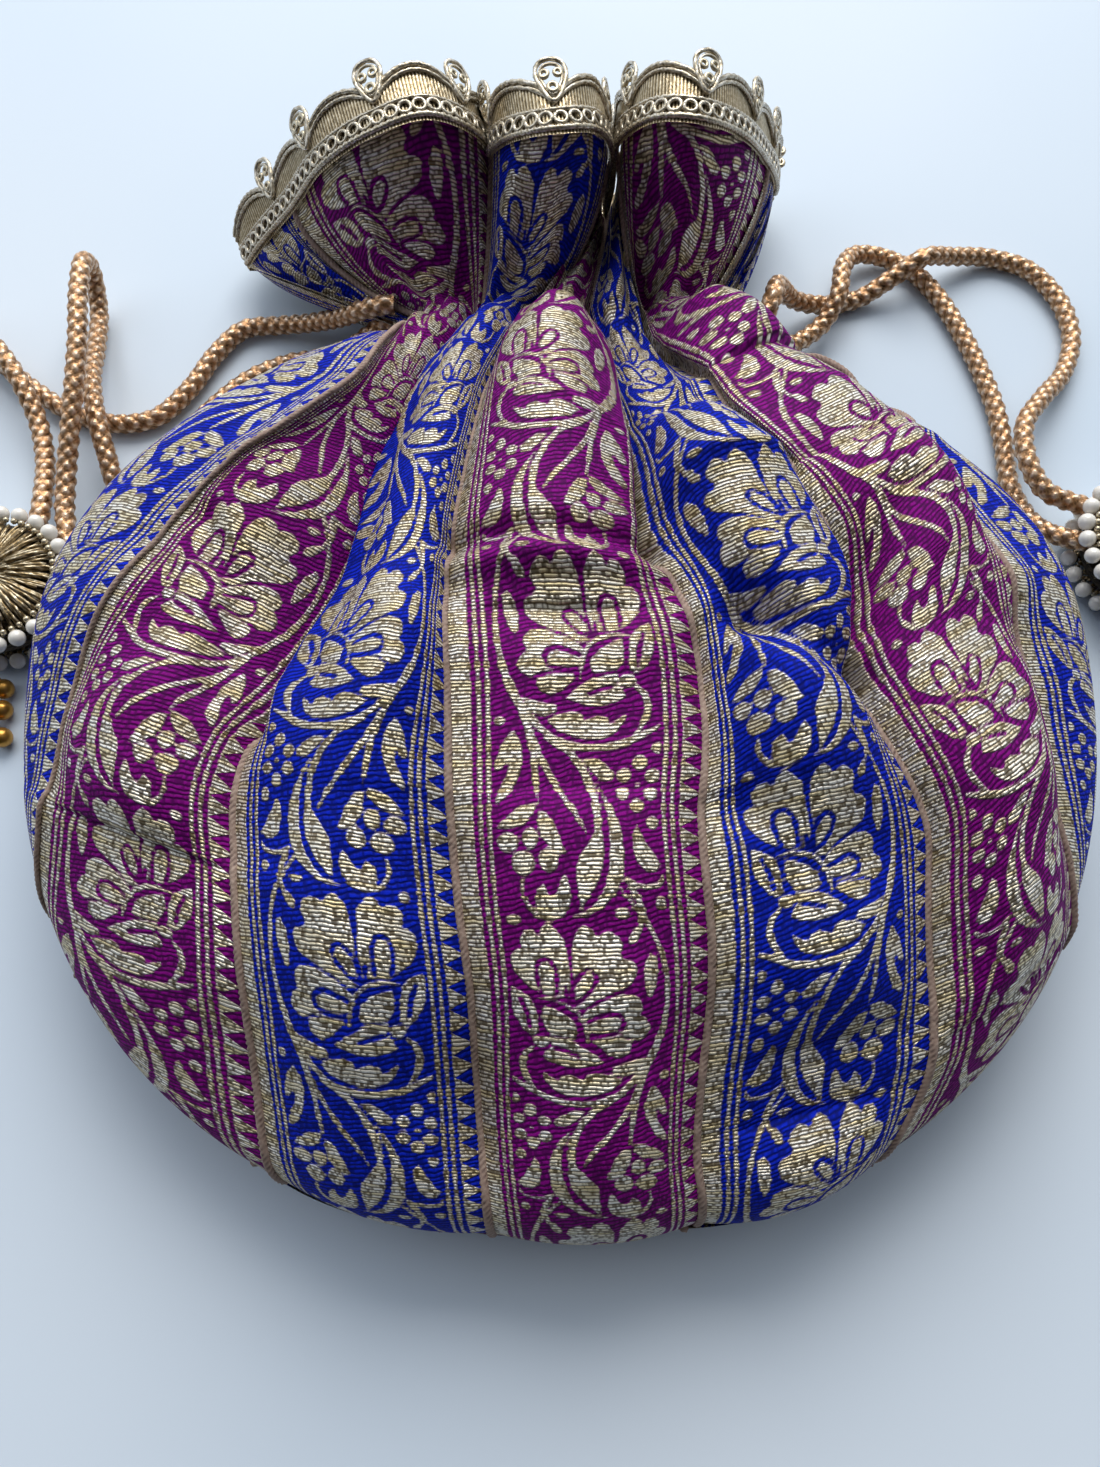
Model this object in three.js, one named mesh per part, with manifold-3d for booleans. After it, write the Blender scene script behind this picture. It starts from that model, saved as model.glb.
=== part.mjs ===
import * as THREE from "three";
import { mergeVertices } from "three/addons/utils/BufferGeometryUtils.js";
import Module from "manifold-3d";

// Potli: a drawstring pouch sewn from woven border strips, lying filled on its back.
// X runs across the bag, Y from the hem to the mouth, Z up from the table.
// Everything is laid out from the drawstring line at Y = 0; the group then centres the bag.

// Driving dimensions of the pouch, in millimetres
const BODY_WIDTH = 239;
const BODY_LENGTH = 214; // drawstring line to the bottom hem
const BODY_HEIGHT = 62; // table to the crown
const SIDE_SEAM_HEIGHT = 22; // table to the seam that joins front and back
const WIDEST_BELOW_NECK = 93;
const NECK_WIDTH = 84;
const NECK_HEIGHT = 34;
const FRILL_LENGTH = 40; // drawstring line to the cut edge under the lace
const FRILL_WIDTH = 150;
const FRILL_RISE = 25; // front of the mouth above the side seam
const FRILL_DROP = 20; // back of the mouth below the side seam
const FRILL_SHIFT = -14; // the mouth leans to the left
const CLOTH = 1; // strip with its backing
const LINING = 0.6;
const LACE_HEIGHT = 23;
const LACE_BAND = 13; // straight part of the lace, below its scallops
const LACE_THICKNESS = 1.2;
const SCALLOPS = 16;

// Drawstring and ornaments
const CORD = 5;
const PEARL = 4.1;
const PEARLS_PER_RING = 20;
const GOLD_BEAD = 5;
const THREAD = 1.4;
const ROSETTE_DIAMETER = 31;
const ROSETTE_RIM = 1.8;
const ROSETTE_DOME = 5.5;
const CORE_DIAMETER = 24;

// Clearances
const SEAM_GAP = 0.3;
const SLIDE = 1.1; // slack round a cord in its channel
const LINING_SLACK = 2; // how far the lining hangs inside the cloth
const LINING_SEAT = 0.9; // lining to cloth where it is sewn in at the mouth

// Shape of the filled cloth
const OUTLINE_POWER = 2.2;
const FRONT = { name: "front", sign: 1, power: 2.2, flatness: 1 };
const BACK = { name: "back", sign: -1, power: 3.2, flatness: 1.06 };
const SHOULDER_POWER = 2.4;
const FLARE_POWER = 1.3;

// Strip layout: seams are counted in half strips from the centreline, as 1, 3 and 5.
// The halves beyond the fifth are the edge strips, cut at the side seam.
const EDGE = 6;
const OUTER_SEAM = 5;
const BELLY_SEAMS = [0, 0.2, 0.36, 0.52, 0.69, 0.86]; // share of the half width at the widest line
const STRIPS = [
  { colour: "blue", from: -6, to: -5 },
  { colour: "magenta", from: -5, to: -3 },
  { colour: "blue", from: -3, to: -1 },
  { colour: "magenta", from: -1, to: 1 },
  { colour: "blue", from: 1, to: 3 },
  { colour: "magenta", from: 3, to: 5 },
  { colour: "blue", from: 5, to: 6 },
];
const EDGE_STEPS = [0, 0.5, 0.85, 1]; // closer towards the steep side seam

// How far the weight inside pulls each front seam across, as [along the bag, shift] pairs.
const FRONT_SEAM_PULL = {
  "-5": [[-10, 0], [-30, 20], [-50, 26], [-75, 20], [-90, 13], [-108, 3], [-125, 0]],
  "-3": [[-6, 3], [-30, 9], [-50, 12], [-85, 12], [-110, 2], [-128, -3], [-165, 0]],
  "1": [[-10, 0], [-36, -4], [-81, -4], [-92, 0], [-125, 2], [-180, 2], [-200, 0]],
  "3": [[-8, 0], [-30, -12], [-49, -16], [-77, -6], [-90, -2], [-116, 0], [-137, 7], [-172, 7], [-195, 0]],
  "5": [[-15, 0], [-31, 5], [-43, 0], [-62, -6], [-90, -5], [-120, 0]],
};
const BODY_ROWS = [0, 0.015, 0.06, 0.14, 0.26, 0.4, 0.55, 0.68, 0.79, 0.88, 0.95, 1];

// Values that follow from the ones above
const CORD_RADIUS = CORD / 2;
const CORD_ROW = CORD_RADIUS + SLIDE / 2; // the two cords lie either side of the drawstring line
const CORD_SPLIT = CORD_RADIUS + SLIDE / 2; // the two ends of a cord leave one above the other
const HALF_BAND = CORD_ROW + CORD_RADIUS + SLIDE; // half the gathered band round the cords
const SLIT_HALF_HEIGHT = CORD_SPLIT + CORD_RADIUS + CLOTH;
const CHANNEL_EASE = CLOTH + SLIDE + CORD_RADIUS; // outside of the neck to a cord's centre
const NECK_EASE = CHANNEL_EASE + CORD_RADIUS + SLIDE + SEAM_GAP; // outside of the neck to the lining
const BODY_EASE = CLOTH + LINING_SLACK;
const MOUTH_EASE = CLOTH + LINING_SEAT;
const SLIT_FADE = 5; // length over which a cord slit closes into the seam
const FRILL_START = HALF_BAND + SLIT_FADE;
const FRILL_ROWS = [0, 0.3, 0.62, 1].map((t) => mix(FRILL_START, FRILL_LENGTH, t));
const NECK_ROWS = [0, HALF_BAND, ...FRILL_ROWS];

const wasm = await Module();
wasm.setup();

const material = (color, roughness, metalness) =>
  new THREE.MeshStandardMaterial({ color, roughness, metalness });
const finishes = {
  blue: material(0x0b2bd6, 0.6, 0.1),
  magenta: material(0x8e0b94, 0.6, 0.1),
  lining: material(0xc9b98a, 0.8, 0),
  lace: material(0xb8a67c, 0.4, 0.8),
  cord: material(0xb58a5c, 0.45, 0.5),
  rosette: material(0x9a855a, 0.4, 0.7),
  core: material(0x5a4a30, 0.9, 0),
  pearl: material(0xedede6, 0.25, 0),
  bead: material(0xb8863b, 0.25, 0.9),
};

function mix(a, b, t) {
  return a + (b - a) * t;
}

function unit(t) {
  return Math.min(1, Math.max(0, t));
}

// A rise from 0 to 1 that starts steep and ends level.
function rounded(t, power) {
  return 1 - (1 - unit(t)) ** power;
}

// The bag's cross-section at a distance along it, drawn in on all sides by an ease.
function section(y, ease = 0) {
  const bellyTop = BODY_HEIGHT - SIDE_SEAM_HEIGHT;
  let open = 1;
  let far = { half: BODY_WIDTH / 2, top: bellyTop, under: SIDE_SEAM_HEIGHT, centre: 0 };
  if (y > -HALF_BAND) {
    open = rounded((y - HALF_BAND) / (FRILL_LENGTH - HALF_BAND), FLARE_POWER);
    far = { half: FRILL_WIDTH / 2, top: FRILL_RISE, under: FRILL_DROP, centre: FRILL_SHIFT };
  } else {
    open = rounded((-y - HALF_BAND) / (WIDEST_BELOW_NECK - HALF_BAND), SHOULDER_POWER);
  }
  return {
    centre: far.centre * open,
    half: mix(NECK_WIDTH / 2, far.half, open) - ease,
    top: mix(NECK_HEIGHT / 2, far.top, open) - ease,
    under: mix(NECK_HEIGHT / 2, far.under, open) - ease,
    drop: Math.max(0, (-y - WIDEST_BELOW_NECK) / (BODY_LENGTH - ease - WIDEST_BELOW_NECK)),
  };
}

// How far a plan point lies from the crown line: 1 on the side seams and on the hem.
function spread(x, y, ease) {
  const s = section(y, ease);
  const across = Math.abs(x - s.centre) / s.half;
  return (across ** OUTLINE_POWER + s.drop ** OUTLINE_POWER) ** (1 / OUTLINE_POWER);
}

const reachOf = (s, side) => (side === FRONT ? s.top : s.under);

// Height of the cloth above (front) or below (back) the side seam.
function rise(x, y, side, ease = 0) {
  const reach = reachOf(section(y, ease), side);
  const fullness = Math.sqrt(Math.max(0, 1 - spread(x, y, ease) ** side.power));
  return Math.min(reach, reach * side.flatness * fullness);
}

// Half the opening of the side seam: a slit for the cords at the neck, else a stitched gap.
function seamOpening(y) {
  const closing = unit((Math.abs(y) - HALF_BAND) / SLIT_FADE);
  return mix(SLIT_HALF_HEIGHT, SEAM_GAP / 2, closing);
}

// Where the cloth's edge stands beside the side seam, given the seam's opening there.
function edgeAcross(y, side, ease, opening) {
  const s = section(y, ease);
  const fullness = Math.min(1, opening / (reachOf(s, side) * side.flatness));
  const edgeSpread = (1 - fullness ** 2) ** (1 / side.power);
  return Math.max(0, edgeSpread ** OUTLINE_POWER - s.drop ** OUTLINE_POWER) ** (1 / OUTLINE_POWER);
}

// A column's share of the half width on the widest line.
function bellyShare(column) {
  const place = Math.min(Math.abs(column), OUTER_SEAM);
  const below = Math.floor(place);
  const above = Math.min(below + 1, OUTER_SEAM);
  return Math.sign(column) * mix(BELLY_SEAMS[below], BELLY_SEAMS[above], place - below);
}

// The end of a column on the hem.
function hemOf(column, ease) {
  const share = Math.abs(bellyShare(column));
  const drop = (1 - share ** OUTLINE_POWER) ** (1 / OUTLINE_POWER);
  return -mix(WIDEST_BELOW_NECK, BODY_LENGTH - ease, drop);
}

// The shift of one front seam at a distance along the bag.
function seamPull(seam, y) {
  const marks = FRONT_SEAM_PULL[seam] ?? [];
  const next = marks.findIndex(([along]) => along <= y);
  if (next < 1) return 0;
  const [fromY, from] = marks[next - 1];
  const [toY, to] = marks[next];
  return mix(from, to, (y - fromY) / (toY - fromY));
}

// The shift of any column: columns between two seams share the shifts of both.
function columnPull(column, y) {
  const below = Math.max(-OUTER_SEAM, 2 * Math.floor((column - 1) / 2) + 1);
  const above = Math.min(OUTER_SEAM, below + 2);
  return mix(seamPull(below, y), seamPull(above, y), unit((column - below) / 2));
}

// Plan position of a seam or of a column inside the outer seams.
function columnX(column, y, ease, pulled) {
  const s = section(y, ease);
  const settled = y > -HALF_BAND ? 0 : rounded((-y - HALF_BAND) / (WIDEST_BELOW_NECK - HALF_BAND), 2);
  const pull = pulled ? columnPull(column, y) : 0;
  return s.centre + pull + s.half * mix(column / EDGE, bellyShare(column), settled);
}

// A row is a share of the way up the body, or a Y past the drawstring line.
function rowY(row, column, ease) {
  if (row.y !== undefined) return row.y;
  return mix(hemOf(column, ease), -HALF_BAND, row.up);
}

// A point of the cloth. The shift moves a strip's edge off its seam line.
function clothPoint(column, row, side, options = {}) {
  const { ease = 0, shift = 0, pulled = false, opening = seamOpening } = options;
  const y = rowY(row, column, ease);
  let x = columnX(column, y, ease, pulled) + shift;
  let least = opening(y);
  if (Math.abs(column) > OUTER_SEAM) {
    const s = section(y, ease);
    const edge = s.centre + Math.sign(column) * s.half * edgeAcross(y, side, ease, least);
    const seam = columnX(Math.sign(column) * OUTER_SEAM, y, ease, pulled);
    x = mix(seam, edge, Math.abs(column) - OUTER_SEAM) + shift;
  } else {
    least = opening(-BODY_LENGTH);
  }
  const lift = Math.max(rise(x, y, side, ease), least);
  return new THREE.Vector3(x, y, SIDE_SEAM_HEIGHT + side.sign * lift);
}

// The outward direction of the cloth at one of its points.
function clothNormal(point, side) {
  const step = 0.01;
  const level = (x, y, z) => {
    const crown = reachOf(section(y), side) * side.flatness;
    return spread(x, y, 0) ** side.power + ((z - SIDE_SEAM_HEIGHT) / crown) ** 2;
  };
  const { x, y, z } = point;
  const reach = reachOf(section(y), side);
  if (rise(x, y, side) >= reach) {
    const slope = (reachOf(section(y + step), side) - reachOf(section(y - step), side)) / (2 * step);
    return new THREE.Vector3(0, -slope, side.sign).normalize();
  }
  return new THREE.Vector3(
    level(x + step, y, z) - level(x - step, y, z),
    level(x, y + step, z) - level(x, y - step, z),
    level(x, y, z + step) - level(x, y, z - step),
  ).normalize();
}

// Triangles from a list of corner triples, with repeated corners dropped.
function facets(triples) {
  const corners = triples.flat();
  const loose = new THREE.BufferGeometry().setFromPoints(corners);
  const merged = mergeVertices(loose, 1e-4);
  const order = merged.index ? [...merged.index.array] : corners.map((_, i) => i);
  const kept = [];
  for (let i = 0; i < order.length; i += 3) {
    const [a, b, c] = order.slice(i, i + 3);
    if (a !== b && b !== c && c !== a) kept.push(a, b, c);
  }
  merged.setIndex(kept);
  merged.computeVertexNormals();
  return merged;
}

const quad = (a, b, c, d) => [
  [a, b, c],
  [a, c, d],
];

// The faces of a grid of points, seen from above with rows going up and columns to the right.
function gridFaces(grid, flip) {
  const faces = [];
  for (let i = 0; i + 1 < grid.length; i++) {
    for (let j = 0; j + 1 < grid[i].length; j++) {
      const corners = [grid[i][j], grid[i][j + 1], grid[i + 1][j + 1], grid[i + 1][j]];
      faces.push(...quad(...(flip ? corners.reverse() : corners)));
    }
  }
  return faces;
}

// A closed sheet between an upper and a lower grid of points.
function sheet(upper, lower) {
  const last = upper.length - 1;
  const side = (grid, j) => grid.map((line) => line.at(j));
  const faces = [...gridFaces(upper, false), ...gridFaces(lower, true)];
  faces.push(...gridFaces([lower[0], upper[0]], false));
  faces.push(...gridFaces([upper[last], lower[last]], false));
  faces.push(...gridFaces([side(upper, 0), side(lower, 0)], false));
  faces.push(...gridFaces([side(lower, -1), side(upper, -1)], false));
  return facets(faces);
}

// Rows of the cloth from the hem to the mouth.
const bodyRows = BODY_ROWS.map((up) => ({ up }));
const clothRows = [...bodyRows, ...NECK_ROWS.map((y) => ({ y }))];

function stripColumns({ from, to }) {
  if (Math.abs(from) === EDGE) return EDGE_STEPS.map((t) => mix(to, from, t)).reverse();
  if (Math.abs(to) === EDGE) return EDGE_STEPS.map((t) => mix(from, to, t));
  return [from, (from + to) / 2, to];
}

// One strip of border cloth, from the hem or its pointed end up to the mouth.
function strip(side, layout) {
  const columns = stripColumns(layout);
  const isEdge = Math.abs(layout.from) === EDGE || Math.abs(layout.to) === EDGE;
  const rows = isEdge ? clothRows.slice(1) : clothRows;
  const shiftOf = (column) => {
    if (Math.abs(column) === EDGE) return 0;
    if (column === layout.from) return SEAM_GAP / 2;
    if (column === layout.to) return -SEAM_GAP / 2;
    return 0;
  };
  const pulled = side === FRONT;
  const outer = rows.map((row) =>
    columns.map((c) => clothPoint(c, row, side, { shift: shiftOf(c), pulled })),
  );
  const inner = outer.map((line) =>
    line.map((point) => point.clone().addScaledVector(clothNormal(point, side), -CLOTH)),
  );
  return side === FRONT ? sheet(outer, inner) : sheet(inner, outer);
}

// A closed body as a solid for joining and cutting, and back.
function solidOf(geometry) {
  const bare = geometry.clone();
  bare.deleteAttribute("normal");
  bare.deleteAttribute("uv");
  const merged = mergeVertices(bare, 1e-4);
  const mesh = { numProp: 3, vertProperties: merged.attributes.position.array };
  return new wasm.Manifold(new wasm.Mesh({ ...mesh, triVerts: new Uint32Array(merged.index.array) }));
}

function geometryOf(solid) {
  const { vertProperties, triVerts } = solid.getMesh();
  const geometry = new THREE.BufferGeometry();
  geometry.setAttribute("position", new THREE.BufferAttribute(vertProperties, 3));
  geometry.setIndex([...triVerts]);
  geometry.computeVertexNormals();
  return geometry;
}

const joined = (geometries) => geometryOf(geometries.map(solidOf).reduce((a, b) => a.add(b)));

// Distance of the lining from the outside of the cloth: past the cords at the neck, sewn in at the mouth.
function liningEase(y) {
  if (y > HALF_BAND) return mix(NECK_EASE, MOUTH_EASE, unit((y - HALF_BAND) / (FRILL_LENGTH - HALF_BAND)));
  const away = unit((-y - HALF_BAND) / (WIDEST_BELOW_NECK - HALF_BAND));
  return mix(NECK_EASE, BODY_EASE, rounded(away, 2));
}

// The space inside the lining's outer face, thinned by a wall, up to a mouth at the given Y.
function pouch(wall, mouth) {
  const columns = [-6, -5.6, -5, -3.5, -2, -0.7, 0.7, 2, 3.5, 5, 5.6, 6];
  const rows = [...bodyRows, ...NECK_ROWS.slice(0, -1).map((y) => ({ y })), { y: mouth }];
  const noOpening = () => 0;
  const point = (column, row, side) => {
    const y = rowY(row, column, BODY_EASE + wall);
    const ease = liningEase(y) + wall;
    const flat = row.y === undefined ? { y } : row;
    return clothPoint(column, flat, side, { ease, opening: noOpening });
  };
  const front = rows.map((row) => columns.map((c) => point(c, row, FRONT)));
  const back = rows.map((row) => columns.map((c) => point(c, row, BACK)));
  const faces = [...gridFaces(front, false), ...gridFaces(back, true)];
  faces.push(...gridFaces([front.at(-1), back.at(-1)], false));
  return solidOf(facets(faces));
}

function lining() {
  const rim = FRILL_LENGTH - SEAM_GAP;
  return geometryOf(pouch(0, rim).subtract(pouch(LINING, rim + CORD)));
}

// A point on a cross-section's rim: angle 0 is the right side seam, a quarter turn the crown.
function rimPoint(angle, y, ease) {
  const s = section(y, ease);
  const cosine = Math.cos(angle);
  const x = s.centre + s.half * Math.sign(cosine) * Math.abs(cosine) ** (2 / OUTLINE_POWER);
  const side = Math.sin(angle) >= 0 ? FRONT : BACK;
  return new THREE.Vector3(x, y, SIDE_SEAM_HEIGHT + side.sign * rise(x, y, side, ease));
}

// The scalloped lace band round the mouth.
function lace() {
  const perScallop = 4;
  const count = SCALLOPS * perScallop;
  const foot = FRILL_LENGTH + SEAM_GAP;
  const tip = FRILL_LENGTH + LACE_HEIGHT;
  const crest = FRILL_LENGTH + LACE_BAND;
  const ring = (yOf, ease) =>
    Array.from({ length: count + 1 }, (_, k) => {
      const turn = ((k % count) / count) * 2 * Math.PI;
      const point = rimPoint(turn, FRILL_LENGTH, ease);
      return point.setY(yOf(k % count));
    });
  const footAt = () => foot;
  const topAt = (k) => mix(crest, tip, Math.abs(Math.sin((Math.PI * k) / perScallop)));
  const outer = [ring(footAt, 0), ring(topAt, 0)];
  const inner = [ring(footAt, LACE_THICKNESS), ring(topAt, LACE_THICKNESS)];
  const faces = [...gridFaces(outer, true), ...gridFaces(inner, false)];
  faces.push(...gridFaces([outer[1], inner[1]], true));
  faces.push(...gridFaces([inner[0], outer[0]], true));
  return facets(faces);
}

// A round cord along a smooth path.
function cord(points, steps) {
  const sides = 8;
  const corner = (_, i) => {
    const angle = (i / sides) * 2 * Math.PI;
    return new THREE.Vector2(CORD_RADIUS * Math.cos(angle), CORD_RADIUS * Math.sin(angle));
  };
  const outline = new THREE.Shape(Array.from({ length: sides }, corner));
  const extrudePath = new THREE.CatmullRomCurve3(points, false, "centripetal");
  return new THREE.ExtrudeGeometry(outline, { steps, extrudePath });
}

// The stretch of drawstring inside the channel, with both ends at one side of the neck.
const CORD_SEAT = NECK_WIDTH / 2 - SEAM_GAP; // where the channel stretch ends
function channelCord(hand) {
  const y = -hand * CORD_ROW;
  const samples = 26;
  const entry = 0.16 * Math.PI; // angle from the exit where the cord joins the neck's oval
  const ends = [1, -1].map((level) => [
    new THREE.Vector3(hand * CORD_SEAT, y, SIDE_SEAM_HEIGHT + level * CORD_SPLIT),
    new THREE.Vector3(hand * (CORD_SEAT - CORD), y, SIDE_SEAM_HEIGHT + level * CORD_SPLIT),
  ]);
  const round = Array.from({ length: samples + 1 }, (_, k) => {
    const point = rimPoint(mix(entry, 2 * Math.PI - entry, k / samples), 0, CHANNEL_EASE);
    return new THREE.Vector3(hand * point.x, y, point.z);
  });
  return cord([...ends[0], ...round, ...ends[1].reverse()], 38);
}

// Free strands. A point is [out, along, lift]: out from the cord's exit, along the bag towards the
// mouth, and lift above the table in cord diameters. The routes were laid out for this reach:
const ROUTE_REACH = 77.5;
const routeScale = (BODY_WIDTH - NECK_WIDTH) / 2 / ROUTE_REACH;
const LEFT_UPPER_ROUTE = [
  [9, 4, 3.8], [17, 8, 2.2], [26, 12, 0.8], [35, 14, 0.1], [45, 13, 0], [52, 5, 0],
  [58, -6, 0], [66, -15, 0], [76, -17, 0], [88, -14, 0], [99, -7, 0], [110, 2, 0],
  [121, 11, 0.1], [127, 16, 1.2], [124, 14, 2.6], [114, 7, 2.4], [105, -2, 1.8], [99, -11, 1.4],
  [95, -20, 0.8], [92, -31, 0.7], [90.5, -41, 1],
];
const LEFT_LOWER_ROUTE = [
  [9, 2, 2.2], [16, 1, 1.2], [24, 2, 0.4], [32, 2, 0], [42, -3, 0], [52, -13, 0],
  [61, -25, 0], [68, -35, 0.1], [73, -37, 0.2], [76, -29, 0.9], [79, -19, 1.4], [82, -7, 1.2],
  [84, 6, 0.4], [85, 18, 0.3], [85, 25, 1.8], [84, 22, 3.2], [83, 10, 3.6], [82, -2, 3.4],
  [82, -14, 3], [83, -25, 2.3], [84, -35, 1.6], [84, -45, 1.2],
];
const RIGHT_UPPER_ROUTE = [
  [9, -1, 4.2], [12, 4, 4.6], [14, 10, 4.2], [17, 15, 2.8], [22, 18, 1.2], [30, 20, 0.3],
  [41, 23, 0], [50, 27, 0.7], [58, 31, 1.4], [68, 35, 0.6], [80, 37, 0], [90, 33, 0],
  [97, 23, 0], [99, 11, 0], [95, -1, 0.1], [86, -12, 0.9], [79, -22, 1.4], [78, -32, 1.5],
  [82, -41, 1.3],
];
const RIGHT_LOWER_ROUTE = [
  [8, -2, 2.4], [15, 1, 1.5], [23, 6, 0.8], [30, 12, 0.8], [34, 19, 1.4], [36, 28, 1.3],
  [41, 36, 0.5], [49, 37, 0.1], [57, 33, 0], [63, 25, 0], [68, 14, 0], [72, 2, 0],
  [75, -11, 0], [76, -24, 0], [76, -35, 0], [78, -43, 0.1], [81, -50, 0.6],
];

// Ornaments: two domed rosettes back to back on a core, with pearls round their rims.
const ORNAMENT_MID = ROSETTE_DOME + CORD_RADIUS + SEAM_GAP + SEAM_GAP; // height of the core's middle
const TIER = CORD_RADIUS + SEAM_GAP + PEARL / 2 + SEAM_GAP; // pearls clear the cords between them
const PEARL_CIRCLE = ROSETTE_DIAMETER / 2 + SEAM_GAP + PEARL / 2;
const ORNAMENTS = {
  left: { hand: -1, out: 97, along: -68, entries: [0.38, 0.2] },
  right: { hand: 1, out: 106, along: -57, entries: [0.78, 0.96] },
};

function ornamentCentre({ hand, out, along }) {
  return new THREE.Vector3(hand * (CORD_SEAT + out * routeScale), along, ORNAMENT_MID);
}

// The end of a strand: it runs in between the rosettes and butts on the core.
function coreEntry(ornament, which) {
  const angle = ornament.entries[which] * Math.PI;
  const towards = new THREE.Vector3(Math.cos(angle), Math.sin(angle), 0);
  const centre = ornamentCentre(ornament);
  return [
    centre.clone().addScaledVector(towards, PEARL_CIRCLE),
    centre.clone().addScaledVector(towards, CORE_DIAMETER / 2 + SEAM_GAP),
  ];
}

function freeStrand(ornament, which, route) {
  const { hand } = ornament;
  const level = which === 0 ? 1 : -1;
  const leave = SIDE_SEAM_HEIGHT + level * CORD_SPLIT;
  const y = -hand * CORD_ROW;
  const start = new THREE.Vector3(hand * (CORD_SEAT + SEAM_GAP), y, leave);
  const lead = new THREE.Vector3(hand * (CORD_SEAT + CORD_RADIUS), y, leave);
  const laid = route.map(([out, along, lift]) => {
    const x = hand * (CORD_SEAT + out * routeScale);
    return new THREE.Vector3(x, along, CORD_RADIUS + SEAM_GAP + lift * CORD);
  });
  return cord([start, lead, ...laid, ...coreEntry(ornament, which)], 40);
}

// A domed disc of bullion thread, its flat face on the core.
function rosette(facing) {
  const radius = ROSETTE_DIAMETER / 2;
  const arcSteps = 5;
  const dome = Array.from({ length: arcSteps + 1 }, (_, i) => {
    const angle = ((i / arcSteps) * Math.PI) / 2;
    const height = ROSETTE_RIM + (ROSETTE_DOME - ROSETTE_RIM) * Math.sin(angle);
    return new THREE.Vector2(radius * Math.cos(angle), height);
  });
  dome[arcSteps].x = 0;
  const profile = [new THREE.Vector2(0, 0), new THREE.Vector2(radius, 0), ...dome];
  const turned = new THREE.LatheGeometry(profile, 18).rotateX((facing * Math.PI) / 2);
  return turned.translate(0, 0, facing * (CORD_RADIUS + SEAM_GAP));
}

// A ring of pearls on their thread.
function pearlRing(facing) {
  const pearls = Array.from({ length: PEARLS_PER_RING }, (_, i) => {
    const angle = (i / PEARLS_PER_RING) * 2 * Math.PI;
    const ball = new THREE.SphereGeometry(PEARL / 2, 5, 4);
    return ball.translate(PEARL_CIRCLE * Math.cos(angle), PEARL_CIRCLE * Math.sin(angle), 0);
  });
  const thread = new THREE.TorusGeometry(PEARL_CIRCLE, THREAD / 2, 3, PEARLS_PER_RING);
  return joined([thread, ...pearls]).translate(0, 0, facing * TIER);
}

function core() {
  const height = 2 * CORD_RADIUS;
  return new THREE.CylinderGeometry(CORE_DIAMETER / 2, CORE_DIAMETER / 2, height, 18).rotateX(Math.PI / 2);
}

// A straight thread between two points.
function threadBetween(a, b) {
  const along = b.clone().sub(a);
  const bar = new THREE.CylinderGeometry(THREAD / 2, THREAD / 2, along.length(), 6);
  const turn = new THREE.Quaternion().setFromUnitVectors(new THREE.Vector3(0, 1, 0), along.normalize());
  const middle = a.clone().add(b).multiplyScalar(0.5);
  return bar.applyQuaternion(turn).translate(middle.x, middle.y, middle.z);
}

// The cluster of gold beads that hangs from the core, lying on the table below the rosettes.
function beadDrop() {
  const table = GOLD_BEAD / 2 - ORNAMENT_MID + SEAM_GAP;
  const rim = PEARL_CIRCLE + PEARL / 2;
  const hook = new THREE.Vector3(0, -CORE_DIAMETER / 2 - SEAM_GAP, 0);
  const places = [
    [0.4, 0.9], [-0.6, 1.6], [0.5, 2], [-0.1, 2.9], [0.7, 3.4],
  ].map(([x, down]) => new THREE.Vector3(x * GOLD_BEAD, -rim - down * GOLD_BEAD, table));
  const line = [hook, new THREE.Vector3(0, -rim, 0), ...places];
  const threads = line.slice(1).map((point, i) => threadBetween(line[i], point));
  const beads = [];
  for (const { x, y, z } of places) {
    beads.push(new THREE.SphereGeometry(GOLD_BEAD / 2, 8, 6).translate(x, y, z));
  }
  return joined([...threads, ...beads]);
}

const bag = new THREE.Group();

function add(group, name, geometry, finish) {
  const mesh = new THREE.Mesh(geometry, finish);
  mesh.name = name;
  group.add(mesh);
}

for (const side of [FRONT, BACK]) {
  STRIPS.forEach((layout, i) => {
    const name = `${side.name}_strip_${i + 1}_${layout.colour}`;
    add(bag, name, strip(side, layout), finishes[layout.colour]);
  });
}
add(bag, "lining", lining(), finishes.lining);
add(bag, "lace_trim", lace(), finishes.lace);
add(bag, "left_drawstring_loop", channelCord(-1), finishes.cord);
add(bag, "right_drawstring_loop", channelCord(1), finishes.cord);
add(bag, "left_upper_strand", freeStrand(ORNAMENTS.left, 0, LEFT_UPPER_ROUTE), finishes.cord);
add(bag, "left_lower_strand", freeStrand(ORNAMENTS.left, 1, LEFT_LOWER_ROUTE), finishes.cord);
add(bag, "right_upper_strand", freeStrand(ORNAMENTS.right, 0, RIGHT_UPPER_ROUTE), finishes.cord);
add(bag, "right_lower_strand", freeStrand(ORNAMENTS.right, 1, RIGHT_LOWER_ROUTE), finishes.cord);

for (const [hand, ornament] of Object.entries(ORNAMENTS)) {
  const group = new THREE.Group();
  group.position.copy(ornamentCentre(ornament));
  add(group, `${hand}_ornament_core`, core(), finishes.core);
  add(group, `${hand}_front_rosette`, rosette(1), finishes.rosette);
  add(group, `${hand}_back_rosette`, rosette(-1), finishes.rosette);
  add(group, `${hand}_front_pearl_ring`, pearlRing(1), finishes.pearl);
  add(group, `${hand}_back_pearl_ring`, pearlRing(-1), finishes.pearl);
  add(group, `${hand}_bead_drop`, beadDrop(), finishes.bead);
  bag.add(group);
}

// The origin is under the middle of the bag, hem to lace.
bag.position.y = (BODY_LENGTH - FRILL_LENGTH - LACE_HEIGHT) / 2;

export default bag;
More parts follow.
